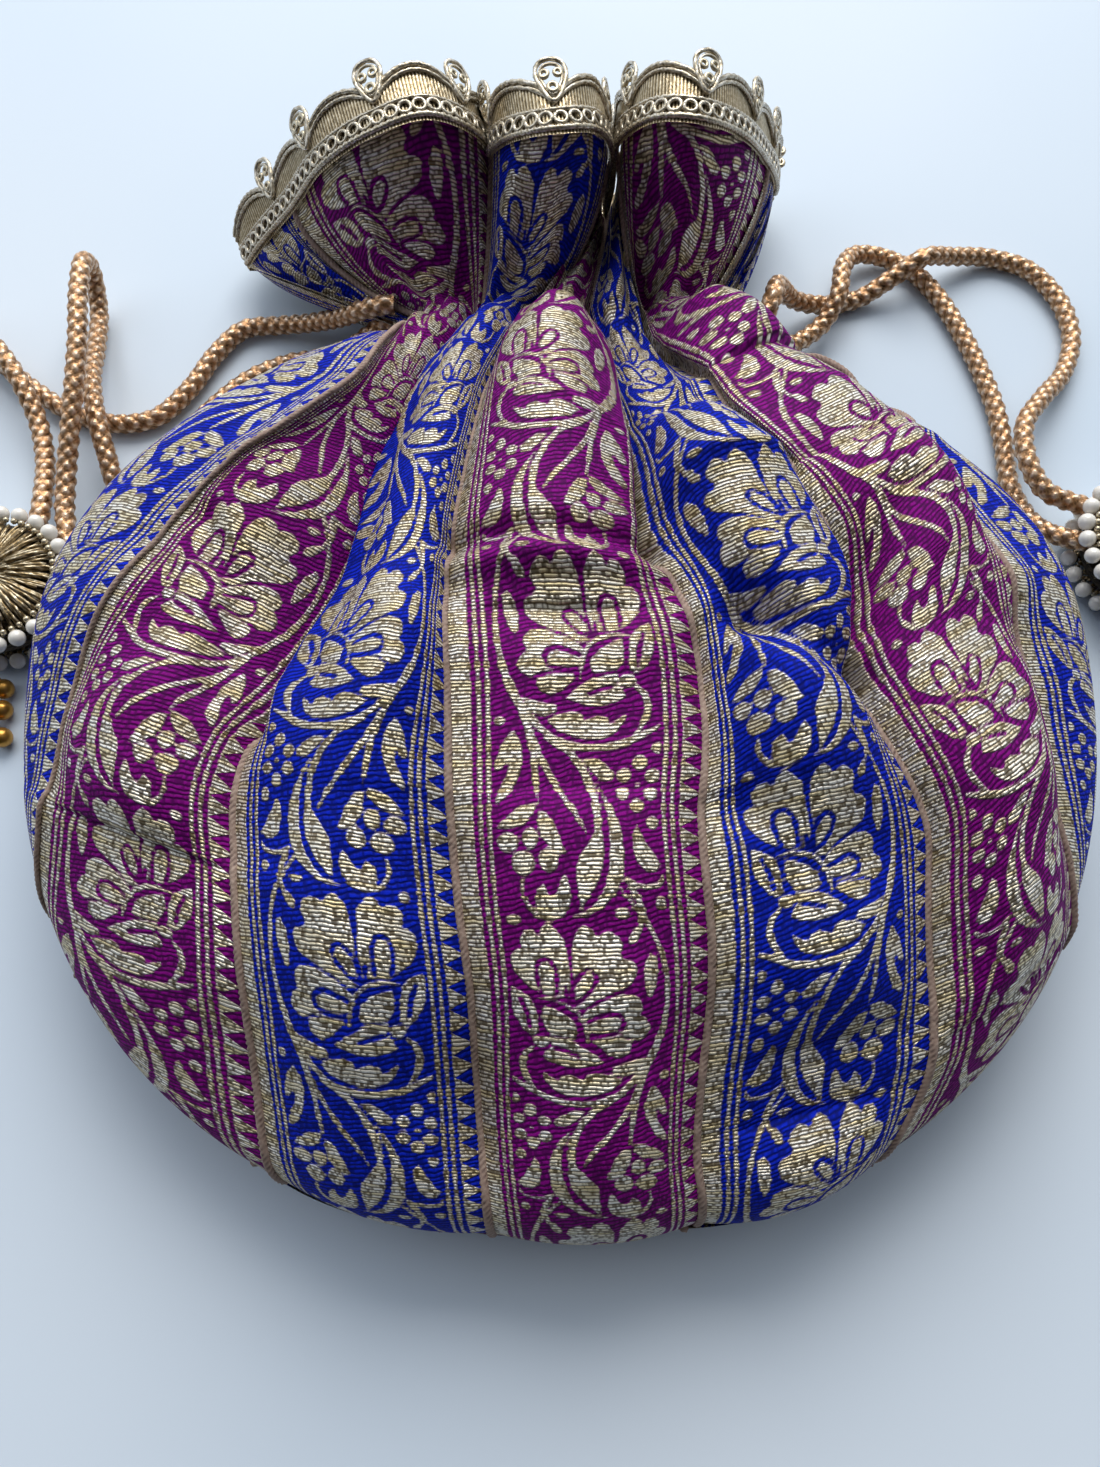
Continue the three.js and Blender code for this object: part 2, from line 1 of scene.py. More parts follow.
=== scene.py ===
import functools
import logging
import math
from dataclasses import dataclass, field
from enum import Enum
from typing import Dict, List, Optional, Sequence, Tuple

import bpy
import numpy as np
from mathutils import Matrix, Vector


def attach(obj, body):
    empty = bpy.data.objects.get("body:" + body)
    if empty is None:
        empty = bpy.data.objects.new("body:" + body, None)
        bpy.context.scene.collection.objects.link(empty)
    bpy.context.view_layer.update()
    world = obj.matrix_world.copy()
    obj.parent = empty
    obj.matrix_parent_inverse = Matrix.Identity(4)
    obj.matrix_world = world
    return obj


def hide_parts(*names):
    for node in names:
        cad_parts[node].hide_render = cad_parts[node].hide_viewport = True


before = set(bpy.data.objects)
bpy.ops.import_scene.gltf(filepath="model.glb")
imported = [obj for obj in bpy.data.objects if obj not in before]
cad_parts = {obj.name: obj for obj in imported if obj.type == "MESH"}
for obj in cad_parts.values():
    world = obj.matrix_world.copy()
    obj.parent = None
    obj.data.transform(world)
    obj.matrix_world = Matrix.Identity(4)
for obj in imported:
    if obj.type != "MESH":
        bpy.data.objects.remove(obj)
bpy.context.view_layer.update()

# The bag is laid out in millimetres from its drawstring line: X across, Y from hem to mouth, Z up.
# The frame's origin lies under the middle of the bag, this far below the drawstring line.
NECK_Y = 75.5
BODY = "root"
STRIP_WIDTH = 48.0

log = logging.getLogger("potli")
Points = np.ndarray


def linear(code: str) -> Tuple[float, float, float, float]:
    """Turns an sRGB hex colour into a linear one.

    Args:
        code: six hex digits.

    Returns:
        Linear red, green, blue and a full alpha.
    """
    parts = [int(code[i:i + 2], 16) / 255 for i in (0, 2, 4)]
    lin = [p / 12.92 if p <= 0.04045 else ((p + 0.055) / 1.055) ** 2.4 for p in parts]
    return lin[0], lin[1], lin[2], 1.0


def smooth(t: Points) -> Points:
    """A rise from 0 to 1 that is level at both ends."""
    t = np.clip(t, 0.0, 1.0)
    return t * t * (3 - 2 * t)


def rounded(t: Points, power: float) -> Points:
    """A rise from 0 to 1 that starts steep and ends level."""
    return 1 - (1 - np.clip(t, 0.0, 1.0)) ** power


def unit(v: Points) -> Points:
    """Vectors along the last axis, brought to length 1."""
    return v / np.maximum(np.linalg.norm(v, axis=-1, keepdims=True), 1e-9)


def spline(knots: Points, marks: Points, at: Points) -> Points:
    """A smooth curve through knots, each with its own mark.

    Args:
        knots: points, one row each.
        marks: rising parameter of each knot.
        at: parameters to evaluate.

    Returns:
        One point for each parameter.
    """
    knots = np.asarray(knots, float)
    marks = np.asarray(marks, float)
    at = np.asarray(at, float)
    steps = np.diff(marks)
    rates = np.diff(knots, axis=0) / steps[:, None]
    slopes = np.empty_like(knots)
    slopes[0], slopes[-1] = rates[0], rates[-1]
    near, far = steps[:-1, None], steps[1:, None]
    slopes[1:-1] = (rates[:-1] * far + rates[1:] * near) / (near + far)
    i = np.clip(np.searchsorted(marks, at, side="right") - 1, 0, len(steps) - 1)
    h = steps[i][..., None]
    t = (at - marks[i])[..., None] / h
    a, b = knots[i], knots[i + 1]
    return (
        a * (1 + 2 * t) * (1 - t) ** 2 + b * t * t * (3 - 2 * t)
        + slopes[i] * h * t * (1 - t) ** 2 + slopes[i + 1] * h * t * t * (t - 1)
    )


def arc_marks(points: Points) -> Points:
    """Distance along a row of points, from 0 at the first."""
    gaps = np.linalg.norm(np.diff(np.asarray(points, float), axis=0), axis=1)
    return np.concatenate([[0.0], np.cumsum(gaps)])


def to_frame(points: Points) -> Points:
    """Millimetres from the drawstring line to metres in the shared frame."""
    return (np.asarray(points, float) + (0.0, NECK_Y, 0.0)) * 0.001


def grain(x: Points, y: Points, size: float, seed: int) -> Points:
    """Smooth random waves over a plane, about -1 to 1.

    Args:
        x: across, in millimetres.
        y: along, in millimetres.
        size: typical distance between crests, in millimetres.
        seed: which pattern.

    Returns:
        The wave's height at each place.
    """
    rng = np.random.default_rng(seed)
    total = np.zeros_like(x, dtype=float)
    for _ in range(9):
        angle = rng.uniform(0, math.pi)
        length = size * rng.uniform(0.7, 1.6)
        phase = rng.uniform(0, 2 * math.pi)
        total += np.sin(2 * math.pi * (x * math.cos(angle) + y * math.sin(angle)) / length + phase)
    return total / 4.5


@dataclass(frozen=True)
class Mesh:
    """A mesh as arrays: points in millimetres, faces as rows of corner numbers."""

    points: Points
    faces: Points
    uv: Optional[Points] = None
    values: Dict[str, Points] = field(default_factory=dict)


def grid_faces(rows: int, columns: int, around: bool = False) -> Points:
    """Quads of a grid of points.

    Args:
        rows: number of rows of points.
        columns: number of points in a row.
        around: joins the last column to the first.

    Returns:
        Corner numbers, four in a row.
    """
    last = columns if around else columns - 1
    i, j = np.meshgrid(np.arange(rows - 1), np.arange(last), indexing="ij")
    right = (j + 1) % columns
    quads = [i * columns + j, i * columns + right, (i + 1) * columns + right, (i + 1) * columns + j]
    return np.stack(quads, axis=-1).reshape(-1, 4)


def joined(parts: Sequence[Mesh]) -> Mesh:
    """Several meshes of one kind of face as one."""
    offsets = np.cumsum([0] + [len(p.points) for p in parts[:-1]])
    faces = np.concatenate([p.faces + o for p, o in zip(parts, offsets)])
    values = {k: np.concatenate([p.values[k] for p in parts]) for k in parts[0].values}
    uv = None if parts[0].uv is None else np.concatenate([p.uv for p in parts])
    return Mesh(np.concatenate([p.points for p in parts]), faces, uv, values)


def make_object(name: str, mesh: Mesh, material: bpy.types.Material, placed: bool = True) -> bpy.types.Object:
    """Makes a Blender object from arrays.

    Args:
        name: the piece's name.
        mesh: its shape, in millimetres.
        material: its finish.
        placed: moves the shape from the drawstring line to the shared frame.

    Returns:
        The object, at the origin.
    """
    data = bpy.data.meshes.new(name)
    points = to_frame(mesh.points) if placed else np.asarray(mesh.points, float) * 0.001
    if placed:
        # Nothing sinks into the table.
        points[:, 2] = np.maximum(points[:, 2], 0.00005)
    faces = [f[:3] if f[2] == f[3] else f for f in mesh.faces.tolist()]
    data.from_pydata(points.tolist(), [], faces)
    if mesh.uv is not None:
        layer = data.uv_layers.new(name="weave")
        loops = np.empty(len(data.loops), dtype=np.int32)
        data.loops.foreach_get("vertex_index", loops)
        layer.data.foreach_set("uv", mesh.uv[loops].astype(np.float32).ravel())
    for key, values in mesh.values.items():
        attribute = data.attributes.new(key, "FLOAT", "POINT")
        attribute.data.foreach_set("value", np.asarray(values, np.float32))
    data.shade_smooth()
    data.materials.append(material)
    piece = bpy.data.objects.new(name, data)
    bpy.context.scene.collection.objects.link(piece)
    return piece


def hand_over(piece: bpy.types.Object, nodes: Sequence[str]) -> bpy.types.Object:
    """Gives a finished piece its body and the nodes that it stands for."""
    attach(piece, BODY)
    if nodes:
        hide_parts(*nodes)
    log.info("%s: %d faces, stands for %s", piece.name, len(piece.data.polygons), ", ".join(nodes) or "-")
    return piece


def add(tree: bpy.types.NodeTree, kind: str, inputs: Optional[dict] = None, **settings: object) -> bpy.types.Node:
    """Adds a node, sets it and links it.

    Args:
        tree: the node tree.
        kind: the node's type name.
        inputs: socket name or number to a value, a node or an output socket.
        settings: properties of the node.

    Returns:
        The new node.
    """
    node = tree.nodes.new(kind)
    for key, value in settings.items():
        setattr(node, key, value)
    for key, value in (inputs or {}).items():
        if isinstance(value, bpy.types.Node):
            value = value.outputs[0]
        if isinstance(value, bpy.types.NodeSocket):
            tree.links.new(value, node.inputs[key])
        else:
            node.inputs[key].default_value = value
    return node


@dataclass(frozen=True)
class Finish:
    """A procedural finish. Each kind dresses its own shader."""

    name: str

    def dress(self, tree: bpy.types.NodeTree, shader: bpy.types.Node) -> None:
        """Sets the shader up; each kind of finish has its own."""
        raise NotImplementedError

    def make(self) -> bpy.types.Material:
        """Returns the finished material."""
        material = bpy.data.materials.new(self.name)
        material.use_nodes = True
        self.dress(material.node_tree, material.node_tree.nodes["Principled BSDF"])
        return material


@dataclass(frozen=True)
class BrocadeFinish(Finish):
    """Zari brocade: a ribbed silk ground with gold weft floating over it in the figured parts.

    The eye gets deep matt colour in the ground and a broken metallic glint where gold threads lie side by side; the
    colour carries painted highlights on the gold's crowns and glints, and painted shade between threads and in the
    rib grooves.
    side by side. The real threads are 0.4 mm; they are drawn at twice that, as fine as the render shows.
    """

    ground: str = "0a26c0"
    # Painted shade: the silk's colour in the grooves between its ribs.
    ground_painted_shade: str = "041062"
    gold: str = "e6d6aa"
    # Painted highlight on the gold's brightest glints.
    gold_painted_highlight: str = "fffcf4"
    # Painted shade between the gold threads and where a float dips.
    gold_painted_shade: str = "4c391c"
    thread: float = 0.72
    float_length: float = 2.4
    rib: float = 1.0
    # The border, across from the strip's left edge: its middle, the pair of lines beside each band, and the bands.
    middle: float = 23.95
    lines_at: float = 17.15
    line_apart: float = 0.85
    line_half: float = 0.42
    band_from: float = 19.4
    teeth_at: float = 43.5
    tooth_half: float = 2.1
    # Half the width of an outline's soft edge, and how unevenly wefts start and stop.
    soft: float = 0.16
    jag: float = 0.3

    def border(self, tree: bpy.types.NodeTree, across: bpy.types.NodeSocket,
               along: bpy.types.NodeSocket) -> bpy.types.Node:
        """Distance to the gold of the border, below 0 inside it."""
        # A solid band on both edges with two lines beside it, folded about the middle.
        middle = add(tree, "ShaderNodeMath", {0: across, 1: self.middle}, operation="SUBTRACT")
        middle = line = add(tree, "ShaderNodeMath", {0: middle}, operation="ABSOLUTE")
        for offset in (self.lines_at, self.line_apart):
            line = add(tree, "ShaderNodeMath", {0: line, 1: offset}, operation="SUBTRACT")
            line = add(tree, "ShaderNodeMath", {0: line}, operation="ABSOLUTE")
        line = add(tree, "ShaderNodeMath", {0: line, 1: self.line_half}, operation="SUBTRACT")
        band = add(tree, "ShaderNodeMath", {0: self.band_from, 1: middle}, operation="SUBTRACT")
        edge = add(tree, "ShaderNodeMath", {0: line, 1: band}, operation="MINIMUM")
        # Temple teeth: small triangles of ground along the right edge.
        tooth = add(tree, "ShaderNodeMath", {0: along, 1: self.tooth_half}, operation="PINGPONG")
        notch = add(tree, "ShaderNodeMath", {0: across, 1: self.teeth_at}, operation="SUBTRACT")
        notch = add(tree, "ShaderNodeMath", {0: tooth, 1: -2.0, 2: notch}, operation="MULTIPLY_ADD")
        return add(tree, "ShaderNodeMath", {0: edge, 1: notch}, operation="MAXIMUM")

    @staticmethod
    def broken(tree: bpy.types.NodeTree, run: object, row: bpy.types.Node, shift: float) -> bpy.types.Node:
        """Uneven floats along each thread, its own for every row."""
        step = add(tree, "ShaderNodeMath", {0: row, 1: shift}, operation="MULTIPLY")
        place = add(tree, "ShaderNodeCombineXYZ", {0: run, 1: step})
        return add(tree, "ShaderNodeTexNoise", {"Vector": place, "Scale": 1.0, "Detail": 1.0}, noise_dimensions="2D")

    def dress(self, tree: bpy.types.NodeTree, shader: bpy.types.Node) -> None:
        """Gold where the figure, the border bands or their lines lie, silk elsewhere."""
        uv = add(tree, "ShaderNodeUVMap", uv_map="weave")
        place = add(tree, "ShaderNodeVectorMath", {0: uv, 1: (STRIP_WIDTH, STRIP_WIDTH, 0)}, operation="MULTIPLY")
        across, along = add(tree, "ShaderNodeSeparateXYZ", {0: place}).outputs[:2]
        # Threads: gold wefts that waver a little, each with its own run of floats and dips.
        waver = add(tree, "ShaderNodeTexNoise", {"Vector": place, "Scale": 0.3, "Detail": 2.0})
        count = add(tree, "ShaderNodeMath", {0: waver, 1: 0.9, 2: along}, operation="MULTIPLY_ADD")
        count = add(tree, "ShaderNodeMath", {0: count, 1: 1 / self.thread}, operation="MULTIPLY")
        row = add(tree, "ShaderNodeMath", {0: count}, operation="FLOOR")
        chance = add(tree, "ShaderNodeTexWhiteNoise", {"W": row}, noise_dimensions="1D").outputs["Value"]
        crown = add(tree, "ShaderNodeMath", {0: count, 1: 0.5}, operation="PINGPONG")
        crown = add(tree, "ShaderNodeMapRange", {"Value": crown, "From Max": 0.42, "To Min": 0.12},
                    interpolation_type="SMOOTHSTEP")
        run = add(tree, "ShaderNodeMath", {0: across, 1: 2.2 / self.float_length}, operation="MULTIPLY")
        dash = self.broken(tree, run, row, 5.3)
        dash = add(tree, "ShaderNodeMapRange", {"Value": dash, "From Min": 0.3, "From Max": 0.56, "To Min": 0.2},
                   interpolation_type="SMOOTHSTEP")
        gold_height = add(tree, "ShaderNodeMath", {0: crown, 1: dash}, operation="MULTIPLY")
        edge = self.border(tree, across, along)
        figure = add(tree, "ShaderNodeAttribute", attribute_name="figure").outputs["Fac"]
        outline = add(tree, "ShaderNodeMath", {0: edge, 1: figure}, operation="MINIMUM")
        # Each weft starts and stops a little early or late, so outlines step thread by thread.
        jag = add(tree, "ShaderNodeMath", {0: chance, 1: self.jag, 2: outline}, operation="MULTIPLY_ADD")
        jag = add(tree, "ShaderNodeMath", {0: jag, 1: -self.jag / 2}, operation="ADD")
        mask = add(tree, "ShaderNodeMapRange", {"Value": jag, "From Min": self.soft, "From Max": -self.soft})
        # Ground: short ribs on a slight slant, in brick order.
        slant = add(tree, "ShaderNodeMath", {0: across, 1: 0.22, 2: along}, operation="MULTIPLY_ADD")
        slant = add(tree, "ShaderNodeMath", {0: waver, 1: 1.6, 2: slant}, operation="MULTIPLY_ADD")
        rib_rows = add(tree, "ShaderNodeMath", {0: slant, 1: 1 / self.rib}, operation="MULTIPLY")
        rib_row = add(tree, "ShaderNodeMath", {0: rib_rows}, operation="FLOOR")
        rib = add(tree, "ShaderNodeMath", {0: rib_rows, 1: 0.5}, operation="PINGPONG")
        rib = add(tree, "ShaderNodeMapRange", {"Value": rib, "From Max": 0.4}, interpolation_type="SMOOTHSTEP")
        bead = self.broken(tree, across, rib_row, 3.7)
        bead = add(tree, "ShaderNodeMapRange", {"Value": bead, "From Min": 0.32, "From Max": 0.58, "To Min": 0.25})
        rib = add(tree, "ShaderNodeMath", {0: rib, 1: bead}, operation="MULTIPLY")
        # Colours: a painted highlight on each thread's crown and painted glints, uneven from thread to thread and
        # over the cloth; painted shade between the threads.
        patch = add(tree, "ShaderNodeTexNoise", {"Vector": place, "Scale": 0.16, "Detail": 3.0})
        # Painted glints: brighter gold on random rows and patches.
        glint = add(tree, "ShaderNodeMath", {0: chance, 1: 0.45, 2: patch}, operation="MULTIPLY_ADD")
        glint = add(tree, "ShaderNodeMapRange", {"Value": glint, "From Min": 0.45, "From Max": 0.95})
        gold = add(tree, "ShaderNodeMix", {"Factor": glint, 6: linear(self.gold), 7: linear(self.gold_painted_highlight)},
                   data_type="RGBA")
        # Painted shade: low on a thread or at a dip the gold turns dark.
        gold = add(tree, "ShaderNodeMix", {"Factor": gold_height, 6: linear(self.gold_painted_shade), 7: gold.outputs[2]},
                   data_type="RGBA")
        # Painted shade: the silk darkens in the rib grooves and at each rib's breaks.
        silk = add(tree, "ShaderNodeMix", {"Factor": rib, 6: linear(self.ground_painted_shade), 7: linear(self.ground)},
                   data_type="RGBA")
        colour = add(tree, "ShaderNodeMix", {"Factor": mask, 6: silk.outputs[2], 7: gold.outputs[2]},
                     data_type="RGBA")
        lift = add(tree, "ShaderNodeMath", {0: gold_height, 1: 0.5, 2: 0.5}, operation="MULTIPLY_ADD")
        sunk = add(tree, "ShaderNodeMath", {0: rib, 1: 0.35}, operation="MULTIPLY")
        height = add(tree, "ShaderNodeMix", {"Factor": mask, 2: sunk, 3: lift})
        bump = add(tree, "ShaderNodeBump", {"Strength": 1.0, "Distance": 0.0004, "Height": height})
        metal = add(tree, "ShaderNodeMath", {0: mask, 1: 0.5}, operation="MULTIPLY")
        rough = add(tree, "ShaderNodeMapRange", {"Value": mask, "To Min": 0.7, "To Max": 0.36})
        for socket, value in (("Base Color", colour.outputs[2]), ("Metallic", metal.outputs[0]),
                              ("Roughness", rough.outputs[0]), ("Normal", bump.outputs[0])):
            tree.links.new(value, shader.inputs[socket])
        shader.inputs["Specular IOR Level"].default_value = 0.08


class Side(Enum):
    """The two sewn panels of the pouch."""

    FRONT = 1
    BACK = -1


@dataclass(frozen=True)
class PouchForm:
    """The filled pouch: outline, height over the table and the unrolling of its cloth."""

    body_half: float = 119.5
    body_length: float = 214.0
    crown: float = 40.0
    under: float = 22.0
    side_seam: float = 22.0
    widest: float = 93.0
    neck_half: float = 42.0
    neck_rise: float = 17.0
    half_band: float = 6.65
    power: float = 2.2
    cinch: float = 10.0
    cinch_reach: float = 9.0

    def openness(self, y: Points) -> Points:
        """How far the cloth has opened out from the neck, 0 to 1."""
        return rounded((-y - self.half_band) / (self.widest - self.half_band), 2.4)

    def half(self, y: Points) -> Points:
        """Half the width of the outline."""
        return self.neck_half + (self.body_half - self.neck_half) * self.openness(y)

    def spread(self, x: Points, y: Points) -> Points:
        """Distance from the crown line: 1 on the outline."""
        drop = np.maximum(0, (-y - self.widest) / (self.body_length - self.widest))
        return ((np.abs(x) / self.half(y)) ** self.power + drop ** self.power) ** (1 / self.power)

    def height(self, x: Points, y: Points, side: Side) -> Points:
        """Height of the smooth cloth over the table."""
        s = np.clip(self.spread(x, y), 0, 1)
        opened = self.openness(y)
        if side is Side.FRONT:
            reach = self.neck_rise + (self.crown - self.neck_rise) * opened
            pinch = self.cinch * np.exp(-(y / self.cinch_reach) ** 2)
            belly = 3.0 * np.exp(-((y + 122) / 26) ** 2) - 9.0 * np.exp(-((y + 192) / 17) ** 2)
            return self.side_seam + (reach - pinch + belly) * np.sqrt(1 - s ** 2.2)
        reach = self.neck_rise + (self.under - self.neck_rise) * opened
        return self.side_seam - np.minimum(reach, reach * 1.06 * np.sqrt(1 - s ** 3.2))

    def normal(self, x: Points, y: Points, side: Side) -> Points:
        """Outward direction of the smooth cloth, never quite level."""
        step = 0.5
        inside = np.clip(self.spread(x, y), 0.97, None) / 0.97
        x, y = x / inside, np.where(y < -self.widest, -self.widest + (y + self.widest) / inside, y)
        dx = (self.height(x + step, y, side) - self.height(x - step, y, side)) / (2 * step)
        dy = (self.height(x, y + step, side) - self.height(x, y - step, side)) / (2 * step)
        n = np.stack([-dx, -0.6 * dy, np.ones_like(dx)], axis=-1)
        return unit(n) * side.value

    def shares(self) -> Tuple[Points, Points]:
        """Spread against its length measured over the cloth."""
        s = 1 - (1 - np.linspace(0, 1, 400)) ** 2
        rise = self.crown * np.sqrt(1 - s ** self.power)
        over = arc_marks(np.stack([s * self.body_half, rise], axis=-1)) / self.body_half
        return np.append(s, 3.0), np.append(over, over[-1] + 2.0)

    def slide(self, points: Points, source: Points, target: Points) -> Points:
        """Moves points along their rays from one row of shares to another."""
        x, y = points[..., 0], points[..., 1]
        here = np.maximum(self.spread(x, y), 1e-6)
        k = np.interp(here, source, target) / here
        low = y < -self.widest
        return np.stack([x * k, np.where(low, -self.widest + (y + self.widest) * k, y)], axis=-1)

    def unroll(self, plan: Points) -> Points:
        """Plan positions to positions on the cloth laid flat."""
        s, over = self.shares()
        return self.slide(plan, s, over)

    def reroll(self, flat: Points) -> Points:
        """Positions on the cloth laid flat to plan positions."""
        s, over = self.shares()
        return self.slide(flat, over, s)

    def flat_edge(self) -> float:
        """The spread of the outline on the cloth laid flat."""
        return float(self.shares()[1][-2])


class Buckle:
    """The shape that a strip of cloth takes when its edges are pushed together."""

    angles = np.linspace(0, 1.5, 61)
    across = np.linspace(0, 1, 201)

    def __init__(self) -> None:
        """Works the family of bent strips out once."""
        turn = self.angles[:, None] * np.cos(math.pi * self.across)[None, :]
        step = self.across[1]
        run = np.cumsum(np.cos(turn), axis=1) * step
        lift = np.cumsum(np.sin(turn), axis=1) * step
        run -= run[:, :1]
        lift -= lift[:, :1]
        self.chord = run[:, -1]
        self.run = run / run[:, -1:]
        self.lift = lift - lift[:, -1:] * self.across

    def bend(self, ratio: Points) -> Points:
        """The steepest angle for a ratio of chord to cloth."""
        return np.interp(-ratio, -self.chord, self.angles)

    def place(self, ratio: Points, share: Points) -> Tuple[Points, Points]:
        """Where the cloth lies.

        Args:
            ratio: chord over cloth width, rows by columns.
            share: share of the cloth's width, one for each column.

        Returns:
            Share of the chord, and height as a share of the cloth's width.
        """
        bend = self.bend(ratio)
        run, lift = np.empty_like(bend), np.empty_like(bend)
        for j in range(bend.shape[1]):
            f = share[j] * (len(self.across) - 1)
            k = min(int(f), len(self.across) - 2)
            w = f - k
            run[:, j] = np.interp(bend[:, j], self.angles, self.run[:, k] * (1 - w) + self.run[:, k + 1] * w)
            lift[:, j] = np.interp(bend[:, j], self.angles, self.lift[:, k] * (1 - w) + self.lift[:, k + 1] * w)
        return run, lift


FORM = PouchForm()
BUCKLE = Buckle()

# Front seams from the neck to the hem and a little past it, read in plan off the bag.
FRONT_SEAMS: List[List[Tuple[float, float]]] = [
    [(-35, 0), (-37, -15), (-39, -30), (-44, -44), (-56, -56), (-66, -63.5), (-76, -72.5), (-87, -88), (-98, -106),
     (-103, -120), (-105, -131), (-108, -142), (-111, -157), (-114, -190), (-116, -260)],
    [(-21, 0), (-25, -12), (-31, -28), (-36, -45), (-40, -60), (-42, -75), (-45, -88), (-50, -99), (-57, -112),
     (-63, -122), (-64.5, -132), (-62.5, -151), (-60.5, -170), (-58.5, -191), (-56.5, -202), (-55, -230),
     (-54, -300)],
    [(-7, 0), (-11, -12), (-17, -33), (-19.5, -50), (-22.5, -74), (-23.5, -92), (-22.5, -111), (-21.5, -134),
     (-19.5, -155), (-17.5, -169), (-16.5, -186), (-14.5, -209), (-14, -240), (-14, -310)],
    [(7, 0), (10, -10), (14, -35), (17, -60), (19, -82), (23.5, -93), (26.5, -105), (27.5, -123), (26, -139),
     (26.5, -150), (27.5, -160), (27.5, -173), (26, -186), (25.5, -197), (27, -209), (27, -240), (27, -310)],
    [(21, 0), (25, -14), (29, -32), (33, -48), (42, -60), (51, -70), (57, -79), (60, -90), (58.5, -100), (59, -107),
     (62.5, -116), (67, -126), (71.5, -138), (71.5, -155), (71.5, -174), (69.5, -187), (66.5, -194), (64, -220),
     (63, -290)],
    [(35, 0), (43, -2), (58, -7), (73, -16), (81, -30), (84, -44), (89, -60), (93.5, -76), (97.5, -92), (101, -107),
     (102.5, -120), (104, -132), (106, -143), (107, -165), (108, -250)],
]
# The rim under the lace: seam count from the middle, then the place in space.
FRONT_RIM: List[Tuple[float, float, float, float]] = [
    (-6, -84, 26, 13), (-5.5, -77, 26.1, 22), (-5, -67, 26, 33.5), (-4.5, -57, 24.3, 47.6), (-4, -44, 25, 56.6),
    (-3.5, -29, 28.7, 57.9), (-3.15, -19, 31, 48.9), (-3, -17.3, 31.9, 43.8), (-2.8, -16, 28.9, 48.3),
    (-2.5, -12, 23.5, 56.6), (-2, -1, 19.4, 63), (-1.5, 8.5, 24.2, 57.9), (-1.15, 11.6, 30.5, 45.7),
    (-1, 11.4, 32.8, 39.9), (0, 11.6, 40.8, 16.5), (1, 13.2, 41.9, 14.3), (2, 14.8, 41.4, 22),
    (3, 14.8, 34.3, 41.8), (3.15, 14.8, 32, 47.6), (3.5, 20, 25.9, 59.2), (4, 31, 22.4, 63),
    (4.5, 43, 28.4, 52.7), (5, 53, 39, 33.5), (5.5, 57, 43.3, 23.3), (6, 58, 47, 16),
]
BACK_RIM: List[Tuple[float, float, float, float]] = [
    (-6, -84, 26, 13), (-5, -74, 32, 7), (-4, -58, 38, 12), (-3, -42, 41, 5), (-2, -27, 42, 11), (-1, -12, 43, 4.5),
    (0, 2, 44, 10), (1, 14, 44, 4), (2, 26, 44, 10), (3, 37, 45, 5), (4, 46, 46, 10), (5, 54, 47, 8), (6, 58, 47, 16),
]
# Creases that cross a strip: plan points, height and half width.
FRONT_CREASES: List[Tuple[List[Tuple[float, float]], float, float]] = [
    ([(27, -3), (50, -25), (75, -50), (95, -82)], 3.5, 9.0),
    ([(61, -95), (66, -82), (71, -68)], -3.5, 5.0),
    ([(35, -97), (40, -101)], -7.0, 6.0),
    ([(22, -76), (29, -89), (36, -98)], -2.5, 4.0),
    ([(38, -100), (48, -107), (58, -109)], -5.0, 4.5),
    ([(29, -104), (33, -118), (34, -136)], -4.5, 6.0),
    ([(44, -62), (52, -76), (56, -92)], 2.0, 6.0),
    ([(-52, -38), (-70, -55), (-84, -76)], -2.5, 7.0),
    ([(-60, -66), (-70, -88), (-76, -110)], 2.0, 8.0),
    ([(-72, -76), (-66, -92), (-70, -112)], -2.2, 3.5),
    ([(-20, -46), (14, -52)], 0.5, 1.2),
    ([(-22, -81), (18, -82)], -2.4, 2.6),
    ([(-24, -87), (20, -88)], 2.6, 3.2),
    ([(-20, -104), (0, -106), (22, -103)], 3.0, 10.0),
    ([(17, -6), (20, -22), (24, -42)], -12.0, 8.0),
    ([(-40, -104), (-48, -120), (-52, -140)], -1.6, 8.0),
    ([(84, -96), (88, -120), (90, -140)], -1.6, 8.0),
]
# Seams that stand over the smooth cloth or sink under it: distance from the neck and height.
FRONT_LIFTS: Dict[int, Tuple[Tuple[float, float], ...]] = {
    1: ((0, 0), (30, 6), (70, 9), (120, 7), (165, 0)),
    2: ((0, 0), (25, -8), (55, -13), (105, -12), (140, 0)),
    4: ((0, 0), (12, -5), (40, -6), (70, -3), (95, 0)),
    5: ((0, 0), (15, -3), (35, 3), (60, 5), (85, 2), (102, -3), (120, -3), (145, 0)),
    6: ((0, 0), (30, -2), (70, -3), (110, 0)),
}
# Strips that lie slack: distance from the neck and the share of the lobe that stands up.
FRONT_SWELL: Dict[int, Tuple[Tuple[float, float], ...]] = {
    1: ((0, 1), (30, 0.5), (60, 0.3), (115, 0.3), (150, 1)),
}
# Seams folded under a neighbour: seam, where it starts and stops below the neck, and how far to the right.
FRONT_TUCKS: List[Tuple[int, float, float, float]] = [
    (2, 12, 132, 9.5), (4, 6, 92, -5.0), (5, 4, 78, 5.0), (5, 84, 122, -5.5),
]


